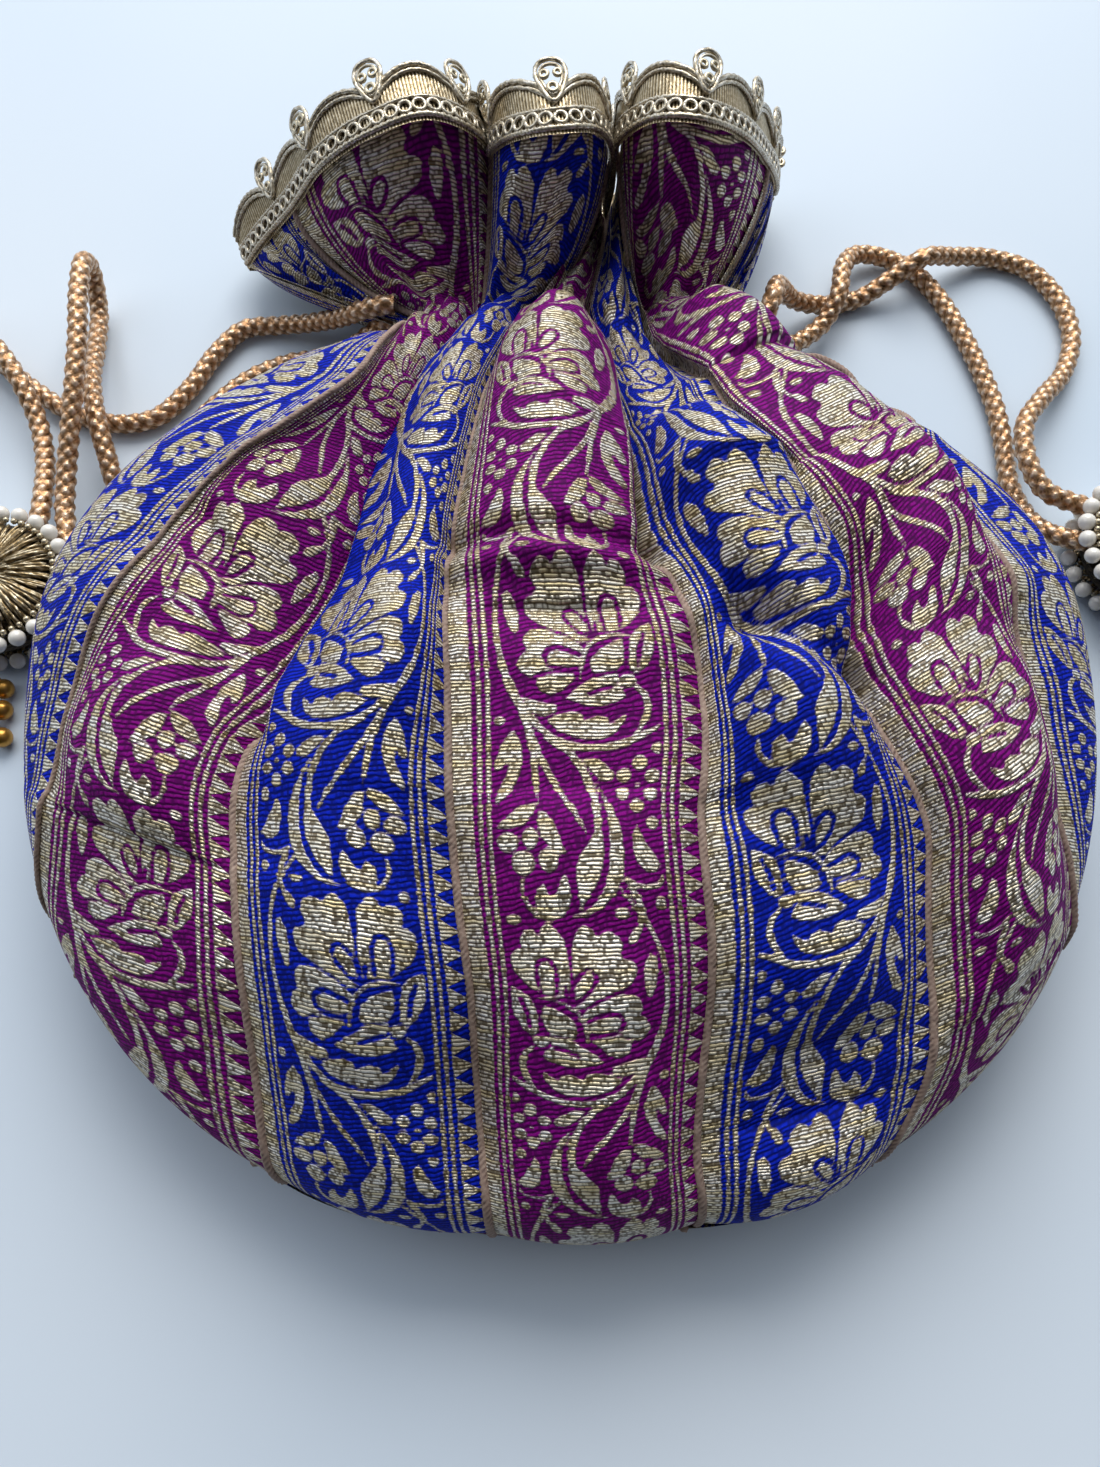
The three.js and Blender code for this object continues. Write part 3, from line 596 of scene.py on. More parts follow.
@dataclass(frozen=True)
class BrocadeFigure:
    """The woven figure: a flower on a vine with leaves, repeated along the strip and mirrored each time.

    Sizes are in millimetres: x from the left of the field, y from the top of the flower downwards.
    """

    left: float = 8.5
    width: float = 31.0
    repeat: float = 65.0
    vein_half: float = 0.45
    step: float = 0.2
    # Petals and leaves: outlines, x and y.
    petals: Tuple[Tuple[Tuple[float, float], ...], ...] = (
        ((18.4, 13.3), (18.6, 9.8), (18.7, 6.2), (18.4, 3.1), (17.6, 0.8), (16.1, -0.4), (14.7, 0.4),
        (13.8, 2.0), (13.1, 1.0), (11.6, 0.6), (10.0, 1.7), (9.4, 3.3), (10.4, 5.2), (9.4, 6.3), (8.1, 6.5),
        (7.3, 7.6), (7.6, 9.6), (8.7, 11.0), (10.9, 12.1), (13.1, 13.0), (15.3, 14.2), (17.0, 15.6),
        (18.6, 15.3)),
        ((19.6, 13.6), (19.5, 9.3), (19.8, 5.3), (20.0, 2.2), (21.0, 0.7), (22.5, -0.8), (23.8, 0.0),
        (24.4, 1.7), (25.5, 0.4), (27.1, 0.5), (28.0, 1.8), (27.9, 3.6), (27.4, 4.4), (28.7, 4.2), (30.0, 5.3),
        (30.1, 7.1), (29.2, 9.3), (27.5, 11.1), (25.7, 12.4), (24.3, 13.0), (21.6, 13.3)),
        ((17.6, 17.3), (16.5, 16.0), (14.4, 14.7), (12.2, 13.7), (10.2, 13.0), (8.1, 13.2), (6.8, 14.2),
        (6.4, 15.8), (7.0, 17.0), (5.7, 18.1), (4.9, 19.6), (5.4, 21.0), (7.1, 21.9), (9.4, 21.0), (11.8, 21.2),
        (15.0, 20.9), (16.8, 20.0)),
        ((8.6, 22.3), (10.5, 21.7), (13.2, 21.5), (15.3, 21.4), (14.9, 22.4), (12.6, 24.4), (10.8, 25.2),
        (9.0, 24.5), (8.4, 23.3)),
        ((18.4, 20.9), (18.7, 18.7), (20.5, 16.9), (22.8, 15.8), (24.6, 15.3), (24.8, 16.9), (24.4, 19.1),
        (23.1, 20.7), (20.8, 21.1), (19.0, 21.3)),
        ((25.6, 20.7), (25.8, 16.9), (26.8, 14.2), (28.8, 12.7), (30.5, 12.0), (30.9, 14.2), (30.3, 17.3),
        (28.5, 20.0), (26.9, 21.3)),
        ((23.5, 22.2), (24.4, 21.4), (26.2, 21.6), (26.4, 22.7), (25.2, 23.6), (23.9, 23.3)),
        ((13.5, 25.8), (15.8, 24.0), (18.5, 22.4), (21.2, 21.7), (23.3, 21.3), (22.8, 23.1), (23.8, 24.2),
        (24.5, 25.3), (22.8, 26.2), (20.1, 26.9), (17.4, 26.9), (14.8, 26.2)),
        ((10.1, 29.8), (12.4, 28.7), (14.7, 28.2), (16.2, 28.7), (16.4, 30.0), (17.6, 29.6), (19.2, 28.9),
        (20.9, 29.3), (21.3, 30.4), (22.7, 29.8), (24.3, 28.7), (23.8, 30.2), (22.2, 32.0), (19.9, 32.9),
        (17.2, 33.0), (14.5, 32.5), (11.9, 31.6)),
        ((5.4, 25.6), (8.5, 26.4), (11.6, 27.1), (11.6, 28.1), (9.3, 28.8), (6.9, 28.1)),
        ((3.4, 5.8), (4.4, 5.2), (5.5, 7.1), (5.9, 10.2), (5.4, 13.2), (4.8, 13.7), (3.9, 11.6), (3.3, 8.9)),
        ((6.1, 0.1), (7.1, 0.4), (8.2, 2.0), (8.1, 3.2), (6.9, 2.8), (6.2, 1.6)),
        ((3.8, 31.6), (4.7, 33.3), (5.3, 36.0), (4.8, 39.1), (2.9, 42.9), (0.9, 44.4), (0.2, 44.2), (1.1, 42.0),
        (2.6, 39.6), (3.1, 37.4), (2.5, 36.7), (1.3, 38.4), (0.3, 38.4), (0.7, 36.4), (1.8, 33.8), (3.1, 32.0)),
        ((16.8, 52.0), (18.3, 50.0), (19.7, 49.1), (20.0, 52.0), (19.4, 55.1), (17.9, 58.2), (16.1, 60.4),
        (14.8, 62.0), (14.7, 58.7), (14.8, 55.1), (15.7, 53.3)),
        ((16.7, 36.7), (18.8, 36.6), (20.6, 37.8), (22.3, 39.2), (21.9, 40.3), (20.0, 40.3), (18.3, 38.7)),
        ((0.7, 48.5), (2.7, 46.7), (5.0, 45.2), (7.7, 44.8), (7.3, 46.4), (5.4, 48.1), (3.1, 48.6)),
        ((8.5, 45.9), (9.9, 46.3), (11.3, 48.4), (12.3, 51.1), (13.1, 52.8), (11.9, 53.0), (10.0, 51.6),
        (8.8, 49.9), (8.3, 47.6)),
        ((6.8, 60.9), (7.1, 59.0), (8.5, 57.9), (9.0, 59.3), (9.8, 60.1), (10.9, 59.2), (11.9, 57.2),
        (12.6, 56.6), (13.2, 58.7), (13.0, 60.9), (11.6, 62.9), (9.2, 63.6), (7.3, 63.1)),
        ((26.4, 48.4), (27.3, 50.4), (29.0, 52.9), (30.2, 54.7), (29.3, 55.9), (27.7, 55.9), (26.1, 54.6),
        (25.4, 52.0), (25.6, 49.8)),
    )
    # Dots and small round petals: x, y, half width, half height.
    dots: Tuple[Tuple[float, float, float, float], ...] = (
        (27.0, 37.3, 1.3, 1.4), (24.2, 39.5, 1.3, 1.2), (29.5, 39.6, 1.4, 1.2), (24.0, 42.9, 1.3, 1.3),
        (29.2, 43.0, 1.4, 1.2), (26.6, 44.9, 1.3, 1.3), (26.8, 41.4, 0.5, 0.4), (1.2, 29.8, 1.0, 0.8),
        (30.4, 34.8, 1.3, 1.1), (29.4, 47.8, 1.1, 1.2), (29.7, 61.1, 1.1, 1.0), (22.2, 62.7, 1.3, 0.8),
        (2.2, 63.6, 1.2, 0.9), (2.5, 51.0, 2.1, 1.6), (6.7, 50.4, 1.5, 1.8), (5.1, 54.4, 2.2, 2.0),
        (9.8, 54.0, 1.8, 2.0),
    )
    # Stems and long leaves: x, y and half width along each.
    stems: Tuple[Tuple[Tuple[float, float, float], ...], ...] = (
        ((8.7, -6.2, 0.32), (6.1, -3.1, 0.41), (3.7, 0.4, 0.45), (2.1, 4.9, 0.50), (1.4, 9.8, 0.50),
        (1.4, 15.1, 0.55), (2.1, 20.0, 0.68), (3.6, 24.2, 0.86), (5.5, 27.8, 0.77), (7.9, 30.4, 0.64),
        (10.7, 32.8, 0.59), (13.6, 34.1, 0.64), (16.7, 34.7, 0.64), (20.3, 34.6, 0.64), (23.9, 33.8, 0.68),
        (27.5, 32.2, 0.59), (31.4, 30.3, 0.32)),
        ((26.5, 23.6, 0.36), (28.1, 25.1, 0.64), (28.6, 27.1, 0.68), (28.0, 29.3, 0.59), (26.6, 31.6, 0.41),
        (25.3, 33.1, 0.23)),
        ((5.3, 28.2, 0.55), (6.9, 32.0, 0.59), (8.3, 35.6, 0.55), (10.0, 38.7, 0.55), (12.5, 42.7, 0.55),
        (15.1, 46.2, 0.50), (17.0, 49.6, 0.18)),
        ((5.9, 30.4, 0.41), (7.4, 36.2, 0.50), (7.8, 40.2, 0.59), (8.3, 44.4, 0.23)),
        ((9.6, 32.7, 0.41), (14.4, 35.8, 0.59), (16.9, 39.1, 0.64), (18.8, 43.6, 0.73), (19.3, 47.6, 0.68),
        (18.8, 51.1, 0.36)),
        ((19.2, 41.1, 0.14), (20.6, 43.6, 0.41), (21.7, 46.2, 0.68), (22.3, 48.9, 1.05), (22.4, 52.4, 1.32),
        (22.0, 55.6, 1.36), (20.7, 58.7, 1.14), (18.5, 61.1, 0.73), (16.0, 62.7, 0.36), (13.3, 63.1, 0.14)),
        ((4.7, 57.2, 0.32), (4.4, 59.2, 0.41), (5.1, 61.0, 0.45), (6.6, 62.8, 0.45), (8.3, 63.3, 0.27)),
        ((23.7, 57.4, 0.50), (25.1, 58.1, 0.45), (27.3, 58.5, 0.41), (29.8, 58.1, 0.41), (31.1, 56.4, 0.36),
        (30.7, 54.8, 0.18)),
        ((24.2, 58.4, 0.55), (25.4, 60.4, 0.64), (26.0, 62.7, 0.64), (24.9, 65.9, 0.32)),
        ((16.3, 22.1, 0.23), (16.9, 18.9, 0.41), (18.2, 16.5, 0.41), (20.6, 14.8, 0.41), (23.4, 14.0, 0.36),
        (25.9, 14.2, 0.18)),
    )
    # Lines of bare ground drawn inside the petals.
    veins: Tuple[Tuple[Tuple[float, float], ...], ...] = (
        ((18.8, 14.6), (17.1, 13.6), (15.5, 11.8), (14.6, 10.0), (15.1, 8.6), (16.2, 8.2), (17.5, 9.1),
        (18.8, 11.1), (19.5, 13.0)),
        ((21.9, 13.0), (21.8, 10.2), (21.9, 8.1), (22.8, 6.4), (23.9, 6.0), (25.1, 6.7), (25.6, 8.4),
        (25.4, 10.7), (24.9, 12.5)),
        ((16.9, 18.3), (14.7, 17.3), (12.5, 16.6), (10.8, 17.0), (9.9, 18.3), (10.4, 19.9), (12.3, 20.6),
        (15.0, 20.7), (16.4, 20.3)),
        ((27.2, 19.8), (27.7, 16.9), (29.0, 14.1)),
        ((17.9, 24.8), (20.3, 24.0), (22.2, 23.5)),
        ((20.1, 13.5), (20.4, 11.6)),
    )

    @staticmethod
    def stroke(x: Points, y: Points, line: Sequence[Sequence[float]], half: Optional[float] = None) -> Points:
        """Distance to a line of rounded pieces, below 0 inside it."""
        best = np.full_like(x, 99.0)
        for a, b in zip(line, line[1:]):
            dx, dy = b[0] - a[0], b[1] - a[1]
            t = np.clip(((x - a[0]) * dx + (y - a[1]) * dy) / (dx * dx + dy * dy), 0, 1)
            wide = half if half is not None else a[2] + (b[2] - a[2]) * t
            best = np.minimum(best, np.hypot(x - a[0] - dx * t, y - a[1] - dy * t) - wide)
        return best

    @classmethod
    def patch(cls, x: Points, y: Points, outline: Sequence[Tuple[float, float]]) -> Points:
        """Distance to a closed outline, below 0 inside it."""
        closed = list(outline) + [outline[0]]
        inside = np.zeros(x.shape, bool)
        for a, b in zip(closed, closed[1:]):
            if a[1] != b[1]:
                crossed = (y < a[1]) != (y < b[1])
                inside ^= crossed & (x < a[0] + (y - a[1]) * (b[0] - a[0]) / (b[1] - a[1]))
        away = cls.stroke(x, y, closed, 0.0)
        return np.where(inside, -away, away) - 0.12

    def tile(self, x: Points, y: Points) -> Points:
        """Distance to the figure inside one repeat."""
        best = np.full_like(x, 99.0)
        for petal in self.petals:
            best = np.minimum(best, self.patch(x, y, petal))
        cut = np.full_like(x, 99.0)
        for vein in self.veins:
            cut = np.minimum(cut, self.stroke(x, y, vein, self.vein_half))
        best = np.maximum(best, -cut)
        for line in self.stems:
            best = np.minimum(best, self.stroke(x, y, line))
        for cx, cy, rx, ry in self.dots:
            best = np.minimum(best, (np.hypot((x - cx) / rx, (y - cy) / ry) - 1) * min(rx, ry))
        return best

    @functools.cached_property
    def chart(self) -> Points:
        """The repeat worked out once on a fine grid: rows along, columns across."""
        x = np.arange(-1, self.width + 1, self.step)
        y = np.arange(-8, self.repeat + 8, self.step)
        grid_x, grid_y = np.meshgrid(x, y)
        chart = self.tile(grid_x, grid_y)
        # Past its own repeat a flower goes on only as its vine and leaves do.
        return np.where((grid_y < -7.5) | (grid_y > self.repeat + 7.5), 99.0, chart)

    def distance(self, u: Points, v: Points, start: float) -> Points:
        """Distance to the figure on a strip, below 0 on gold.

        Args:
            u: place across the strip.
            v: place along the strip, growing towards the hem.
            start: where along the strip a flower begins.

        Returns:
            Distance in millimetres, kept within a few of them.
        """
        best = np.full_like(u, 99.0)
        turn = np.floor((v - start) / self.repeat)
        rows, columns = self.chart.shape
        for shift in (-1, 0, 1):
            number = turn + shift
            x = u - self.left
            x = np.where(number % 2 == 0, x, self.width - x)
            y = v - start - number * self.repeat
            i = np.clip((y + 8) / self.step, 0, rows - 1.001)
            j = np.clip((x + 1) / self.step, 0, columns - 1.001)
            i0, j0 = i.astype(int), j.astype(int)
            di, dj = i - i0, j - j0
            top = self.chart[i0, j0] * (1 - dj) + self.chart[i0, j0 + 1] * dj
            low = self.chart[i0 + 1, j0] * (1 - dj) + self.chart[i0 + 1, j0 + 1] * dj
            here = np.where((y > -7) & (y < self.repeat + 7), top * (1 - di) + low * di, 99.0)
            best = np.minimum(best, here)
        outside = np.maximum(self.left - u, u - self.left - self.width)
        return np.clip(np.maximum(best, outside + 0.3), -2.0, 2.0)


FIGURE = BrocadeFigure()


# The strips beside the side seams, which are cut narrower towards the hem, and how wide they are on the whole.
EDGE_STRIPS = (0, 6)
EDGE_WIDTH = 34
# The front's frill, strip by strip: how hollow it is, how deep it folds and where across the fold lies.
FRILL_HOLLOW = (2.0, 6.0, 5.0, 0.0, 0.0, 6.0, 2.0)
FRILL_FOLD = (0.0, 9.0, 4.0, 0.0, 0.0, 9.0, 0.0)
FRILL_VALLEY = (0.5, 0.74, 0.86, 0.5, 0.5, 0.24, 0.5)


@dataclass(frozen=True)
class StripPlan:
    """One length of border: its colour, its place from the left and where its flowers start."""

    colour: str
    number: int
    flower: float
    drawn: Tuple[Tuple[float, float], ...] = ((0.0, 0.0),)


@dataclass
class Panel:
    """One side of the pouch: seven lengths of border sewn edge to edge, gathered at the neck."""

    side: Side
    strips: Sequence[StripPlan]
    seams: Sequence[Sequence[Tuple[float, float]]]
    rim: Sequence[Tuple[float, float, float, float]]
    creases: Sequence[Tuple[Sequence[Tuple[float, float]], float, float]]
    spacing: float
    tucks: Sequence[Tuple[int, float, float, float]] = ()
    lifts: Dict[int, Tuple[Tuple[float, float], ...]] = field(default_factory=dict)
    swell: Dict[int, Tuple[Tuple[float, float], ...]] = field(default_factory=dict)
    frill: float = 44.0
    gather: float = 1.7
    dip: float = 0.55
    pleat: float = 1.3
    pleat_reach: float = 17.0
    # A tuck: half the width that it pulls along, and how far from its seam the cloth rolls back.
    tuck_half: float = 4.0
    tuck_roll: float = 7.0
    # The stitches pull the cloth in this deep, fading over this width.
    pull: float = 0.55
    pull_width: float = 2.2
    # The table presses the back's folds flat: lowest height, where that starts, and how softly.
    press_floor: float = 0.3
    press_from: float = 0.9
    press_soft: float = 1.4

    def __post_init__(self) -> None:
        """Lays the seams and the outline out on the flat cloth."""
        self.edge = FORM.flat_edge()
        self.lines: List[Tuple[Points, Points]] = []
        for hand in (-1, 1):
            y = np.linspace(0, -FORM.widest, 60)
            turn = np.linspace(0, math.pi / 2, 60)[1:]
            p = 2 / FORM.power
            x = np.concatenate([FORM.half(y), FORM.body_half * np.cos(turn) ** p])
            y = np.concatenate([y, -FORM.widest - (FORM.body_length - FORM.widest) * np.sin(turn) ** p])
            rim = FORM.unroll(np.stack([hand * x, y], axis=-1))
            self.lines.append((rim, arc_marks(rim)))
        middle = [FORM.unroll(np.asarray(seam, float)) for seam in self.seams]
        self.lines[1:1] = [(knots, arc_marks(knots)) for knots in middle]
        self.ends = [self.hem_mark(k) for k in range(8)]
        self.edges: Dict[int, Points] = {}

    def seam(self, k: int, v: Points) -> Points:
        """Points of a seam on the flat cloth, a distance from the neck."""
        knots, marks = self.lines[k]
        return spline(knots, marks, np.clip(v, 0, marks[-1]))

    def hem_mark(self, k: int) -> float:
        """How far from the neck a seam meets the hem."""
        v = np.linspace(60, self.lines[k][1][-1], 900)
        p = self.seam(k, v)
        out = FORM.spread(p[:, 0], p[:, 1]) >= self.edge - 1e-4
        return float(v[np.argmax(out)]) if out.any() else float(v[-1])

    def lobe(self, number: int, v: Points, share: Points) -> Tuple[Points, Points]:
        """Where a strip's buckled cloth lies across: share of its chord, and height."""
        gap = np.linalg.norm(self.seam(number + 1, v) - self.seam(number, v), axis=-1)
        cloth = np.clip(gap, None, STRIP_WIDTH)
        cloth = np.minimum(STRIP_WIDTH, np.maximum(cloth * self.gather, 1.0))
        run, lift = BUCKLE.place(np.clip(gap / cloth, 0, 1), share)
        return run, lift * cloth * np.interp(v, *np.array(self.swell.get(number, ((0, 1),))).T)

    def seam_dip(self, k: int, v: Points) -> Points:
        """How deep a seam lies under the smooth cloth."""
        if k in (0, 7):
            return np.zeros_like(v)
        marks = np.linspace(0, 320, 161)[:, None]
        half = np.array([0.5])
        both = [self.lobe(n, marks, half)[1][:, 0] for n in (k - 1, k) if 1 <= n <= 5]
        depth = self.dip * sum(both) / len(both)
        if k in self.lifts:
            lift = np.interp(marks[:, 0], *np.array(self.lifts[k]).T)
            blur = np.exp(-(np.arange(-12, 13) / 5) ** 2)
            depth = depth - np.convolve(np.pad(lift, 12, mode="edge"), blur / blur.sum(), mode="valid")
        return np.interp(v, marks[:, 0], depth)

    def tuck(self, k: int, v: Points) -> Tuple[Points, Points]:
        """How far a seam is folded under a neighbour (to the right above 0), and the way across it."""
        far = np.zeros_like(v)
        for seam, first, last, amount in self.tucks:
            if seam == k:
                far += amount * smooth((v - first) / 16) * smooth((last - v) / 16)
        return far, unit(self.seam(min(k + 1, 7), v) - self.seam(max(k - 1, 0), v))

    def crease_height(self, x: Points, y: Points) -> Points:
        """Height of the loose creases at plan points."""
        total = np.zeros_like(x)
        for line, height, half in self.creases:
            d = BrocadeFigure.stroke(x, y, line, 0.0)
            total += height * np.exp(-(d / half) ** 2)
        return total

    def surface(self, number: int, f: Points, v: Points, u: Points) -> Points:
        """Points of the body's cloth.

        Args:
            number: the strip, from 0 at the left.
            f: share across the strip, one for each column.
            v: distance from the neck, rows by columns.
            u: place across the border, rows by columns.

        Returns:
            Points in millimetres.
        """
        left, right = self.seam(number, v), self.seam(number + 1, v)
        if number in EDGE_STRIPS:
            side = self.side_seam(number, v)
            left, right = (side, right) if number == 0 else (left, side)
            run, lift = np.broadcast_to(f, v.shape), np.zeros_like(v)
        else:
            run, lift = self.lobe(number, v, f)
        (a, left_way), (b, right_way) = self.tuck(number, v), self.tuck(number + 1, v)
        w = STRIP_WIDTH - u
        near_a, near_b, roll_a, roll_b = (np.exp(-((d - off) / self.tuck_half) ** 2)
                                          for off in (0, self.tuck_roll) for d in (u, w))
        slide_a = a * near_a - 0.5 * np.maximum(a, 0) * roll_a
        slide_b = b * near_b + 0.5 * np.maximum(-b, 0) * roll_b
        flat = left + (right - left) * run[..., None]
        plan = FORM.reroll(flat + left_way * slide_a[..., None] + right_way * slide_b[..., None])
        x, y = plan[..., 0], plan[..., 1]
        base = np.stack([x, y, FORM.height(x, y, self.side)], axis=-1)
        drop = self.seam_dip(number, v) * (1 - f) + self.seam_dip(number + 1, v) * f
        drop = drop + 0.7 * (np.abs(a) * near_a + np.abs(b) * near_b)
        away = np.clip(1.02 - FORM.spread(x, y), 0, 0.2) / 0.2
        fade = np.exp(-v / self.pleat_reach)
        pleats = np.cos(2 * math.pi * 3 * f + number) + 0.5 * np.cos(2 * math.pi * 5 * f + 2 * number)
        wave = 0.42 * grain(x, y, 26, 3) + 0.16 * grain(x, y, 11, 4)
        height = lift - drop + self.pleat * pleats * fade + self.crease_height(x, y) * (1 - fade) + wave * away
        puff = STRIP_WIDTH * np.minimum(f, 1 - f) if number in EDGE_STRIPS else np.minimum(u, w)
        height -= self.pull * np.exp(-np.clip(puff, 0, None) / self.pull_width) * away
        points = base + FORM.normal(x, y, self.side) * (height * np.minimum(1, 0.25 + away))[..., None]
        if self.side is Side.BACK:
            over = (points[..., 2] - self.press_from) / self.press_soft
            points[..., 2] = self.press_floor + self.press_soft * np.logaddexp(0, over)
        return points

    def outer_length(self, number: int) -> float:
        """Length of the side seam beside an edge strip."""
        inner, outer = self.edge_seams(number)
        seam = self.seam(inner, np.array([self.ends[inner]]))
        knots, marks = self.lines[outer]
        return float(marks[np.argmin(np.linalg.norm(knots - seam, axis=1))])

    @staticmethod
    def edge_seams(number: int) -> Tuple[int, int]:
        """The inner and the outer seam of an edge strip."""
        return (1, 0) if number == 0 else (6, 7)

    def side_seam(self, number: int, v: Points) -> Points:
        """Points of the side seam beside an edge strip, level with distances on its inner seam."""
        inner, outer = self.edge_seams(number)
        return self.seam(outer, np.clip(v / self.ends[inner], 0, 1) * self.outer_length(number))

    def cut(self, number: int, u: Points) -> Points:
        """Distance from the neck to the hem for each column."""
        if number in EDGE_STRIPS:
            return np.full_like(u, self.ends[self.edge_seams(number)[0]])
        v = np.linspace(60, 330, 541)
        left, right = self.seam(number, v), self.seam(number + 1, v)
        marks = []
        for share in u / STRIP_WIDTH:
            p = left + (right - left) * share
            s = FORM.spread(p[:, 0], p[:, 1]) - self.edge
            k = max(1, int(np.argmax(s >= 0)))
            marks.append(v[k - 1] + (v[k] - v[k - 1]) * (-s[k - 1]) / (s[k] - s[k - 1]))
        return np.asarray(marks)

    def rim_point(self, number: int, f: Points) -> Points:
        """Points of the rim under the lace."""
        rim = np.asarray(self.rim, float)
        first, last = (-6, -5, -3, -1, 1, 3, 5, 6)[number:number + 2]
        return spline(rim[:, 1:], rim[:, 0], first + (last - first) * f)

    def widths(self, number: int, f: Points, v: Points) -> Points:
        """Place across the border: edge strips are cut along the side seam."""
        if number not in EDGE_STRIPS:
            return np.broadcast_to(f * STRIP_WIDTH, v.shape)
        inner = self.seam(self.edge_seams(number)[0], v[:, :1])
        wide = np.linalg.norm(inner - self.side_seam(number, v[:, :1]), axis=-1)
        opened = smooth((v[:, :1] - 15) / 70)
        wide = STRIP_WIDTH * (1 - opened) + np.minimum(wide, STRIP_WIDTH) * opened
        return STRIP_WIDTH - wide * (1 - f) if number == 0 else wide * f

    def neck_point(self, number: int, f: Points) -> Points:
        """Points of the neck, on the drawstring line."""
        v = np.zeros((1, len(f)))
        return self.surface(number, f, v, self.widths(number, f, v))[0]

    def frill_points(self, neck: Points, rim: Points, w: Points, f: Points, number: Points) -> Points:
        """Points of the frill between the neck (w = 0) and the rim (w = 1)."""
        opened = np.stack([1 - (1 - w) ** 1.5, w, w ** 1.5], axis=-1)
        points = neck + (rim - neck) * opened
        points[..., 2] += 2.2 * np.sin(math.pi * w) * np.cos(2 * math.pi * 2.5 * f + number)
        if self.side is Side.FRONT:
            # The strips that flare out as lobes are hollow above the neck.
            hollow = np.choose(number, FRILL_HOLLOW)
            points[..., 2] -= hollow * np.sin(math.pi * f) ** 2 * np.sin(math.pi * np.sqrt(w)) ** 2
            fold = np.choose(number, FRILL_FOLD)
            valley = np.choose(number, FRILL_VALLEY)
            points[..., 2] -= fold * np.exp(-((f - valley) / 0.13) ** 2) * np.sin(math.pi * w ** 0.6)
        return points

    def strip_mesh(self, plan: StripPlan) -> Mesh:
        """One strip as a fine sheet from the rim to the hem."""
        number = plan.number
        columns = int((EDGE_WIDTH if number in EDGE_STRIPS else STRIP_WIDTH) / self.spacing) + 1
        f = np.linspace(0, 1, columns)
        ends = self.cut(number, f * STRIP_WIDTH)
        rows = int(max(ends) / self.spacing)
        r = np.linspace(0, 1, rows + 1)[:, None]
        v = r * ends[None, :]
        u = self.widths(number, f, v)
        body = self.surface(number, f, v, u)
        count = int(self.frill / self.spacing)
        w = np.linspace(1, 0, count + 1)[:-1, None]
        frill = self.frill_points(body[0], self.rim_point(number, f), w, f, number)
        points = np.concatenate([frill, body])
        self.edges[number + 1] = points[:, -1]
        v = np.concatenate([-self.frill * np.broadcast_to(w, (count, columns)), v])
        u = np.concatenate([np.broadcast_to(u[0], (count, columns)), u])
        figure = FIGURE.distance(np.array(u), v - np.interp(v, *np.array(plan.drawn).T), plan.flower)
        uv = np.stack([u, v], axis=-1).reshape(-1, 2) / STRIP_WIDTH
        faces = grid_faces(len(v), columns)
        if self.side is Side.FRONT:
            faces = faces[:, ::-1]
        return Mesh(points.reshape(-1, 3), faces, uv, {"figure": figure.ravel()})

    def build(self, cloths: Dict[str, bpy.types.Material]) -> None:
        """Builds the seven strips and hands them over."""
        for plan in self.strips:
            node = f"{self.side.name.lower()}_strip_{plan.number + 1}_{plan.colour}"
            mesh = self.strip_mesh(plan)
            piece = make_object(f"{node}_cloth", mesh, cloths[plan.colour])
            hand_over(piece, [node])


def back_seams() -> List[List[Tuple[float, float]]]:
    """The back panel's seams, evenly spread from the neck to the hem and past it."""
    shares = {1: 0.2, 3: 0.52, 5: 0.86}
    lines = []
    for column in (-5, -3, -1, 1, 3, 5):
        share = math.copysign(shares[abs(column)], column)
        y = np.concatenate([np.linspace(0, -214, 24), [-240, -320]])
        settled = rounded((-y - FORM.half_band) / (FORM.widest - FORM.half_band), 2)
        x = FORM.half(y) * (column / 6 + (share - column / 6) * settled)
        lines.append(list(zip(x, y)))
    return lines


@dataclass(frozen=True)
class TableFinish(Finish):
    """Lacquered board: pale, nearly even, with a faint soft sheen."""

    colour: str = "b5cbe0"
    cloud: str = "e4eaf0"

    def dress(self, tree: bpy.types.NodeTree, shader: bpy.types.Node) -> None:
        """Faint clouding over the pale lacquer."""
        place = add(tree, "ShaderNodeTexCoord")
        cloud = add(tree, "ShaderNodeTexNoise", {"Vector": place.outputs["Object"], "Scale": 3.0})
        tint = add(tree, "ShaderNodeMix", {"Factor": cloud, 6: linear(self.colour), 7: linear(self.cloud)},
                   data_type="RGBA")
        tree.links.new(tint.outputs[2], shader.inputs["Base Color"])
        shader.inputs["Roughness"].default_value = 0.5
        shader.inputs["Specular IOR Level"].default_value = 0.25


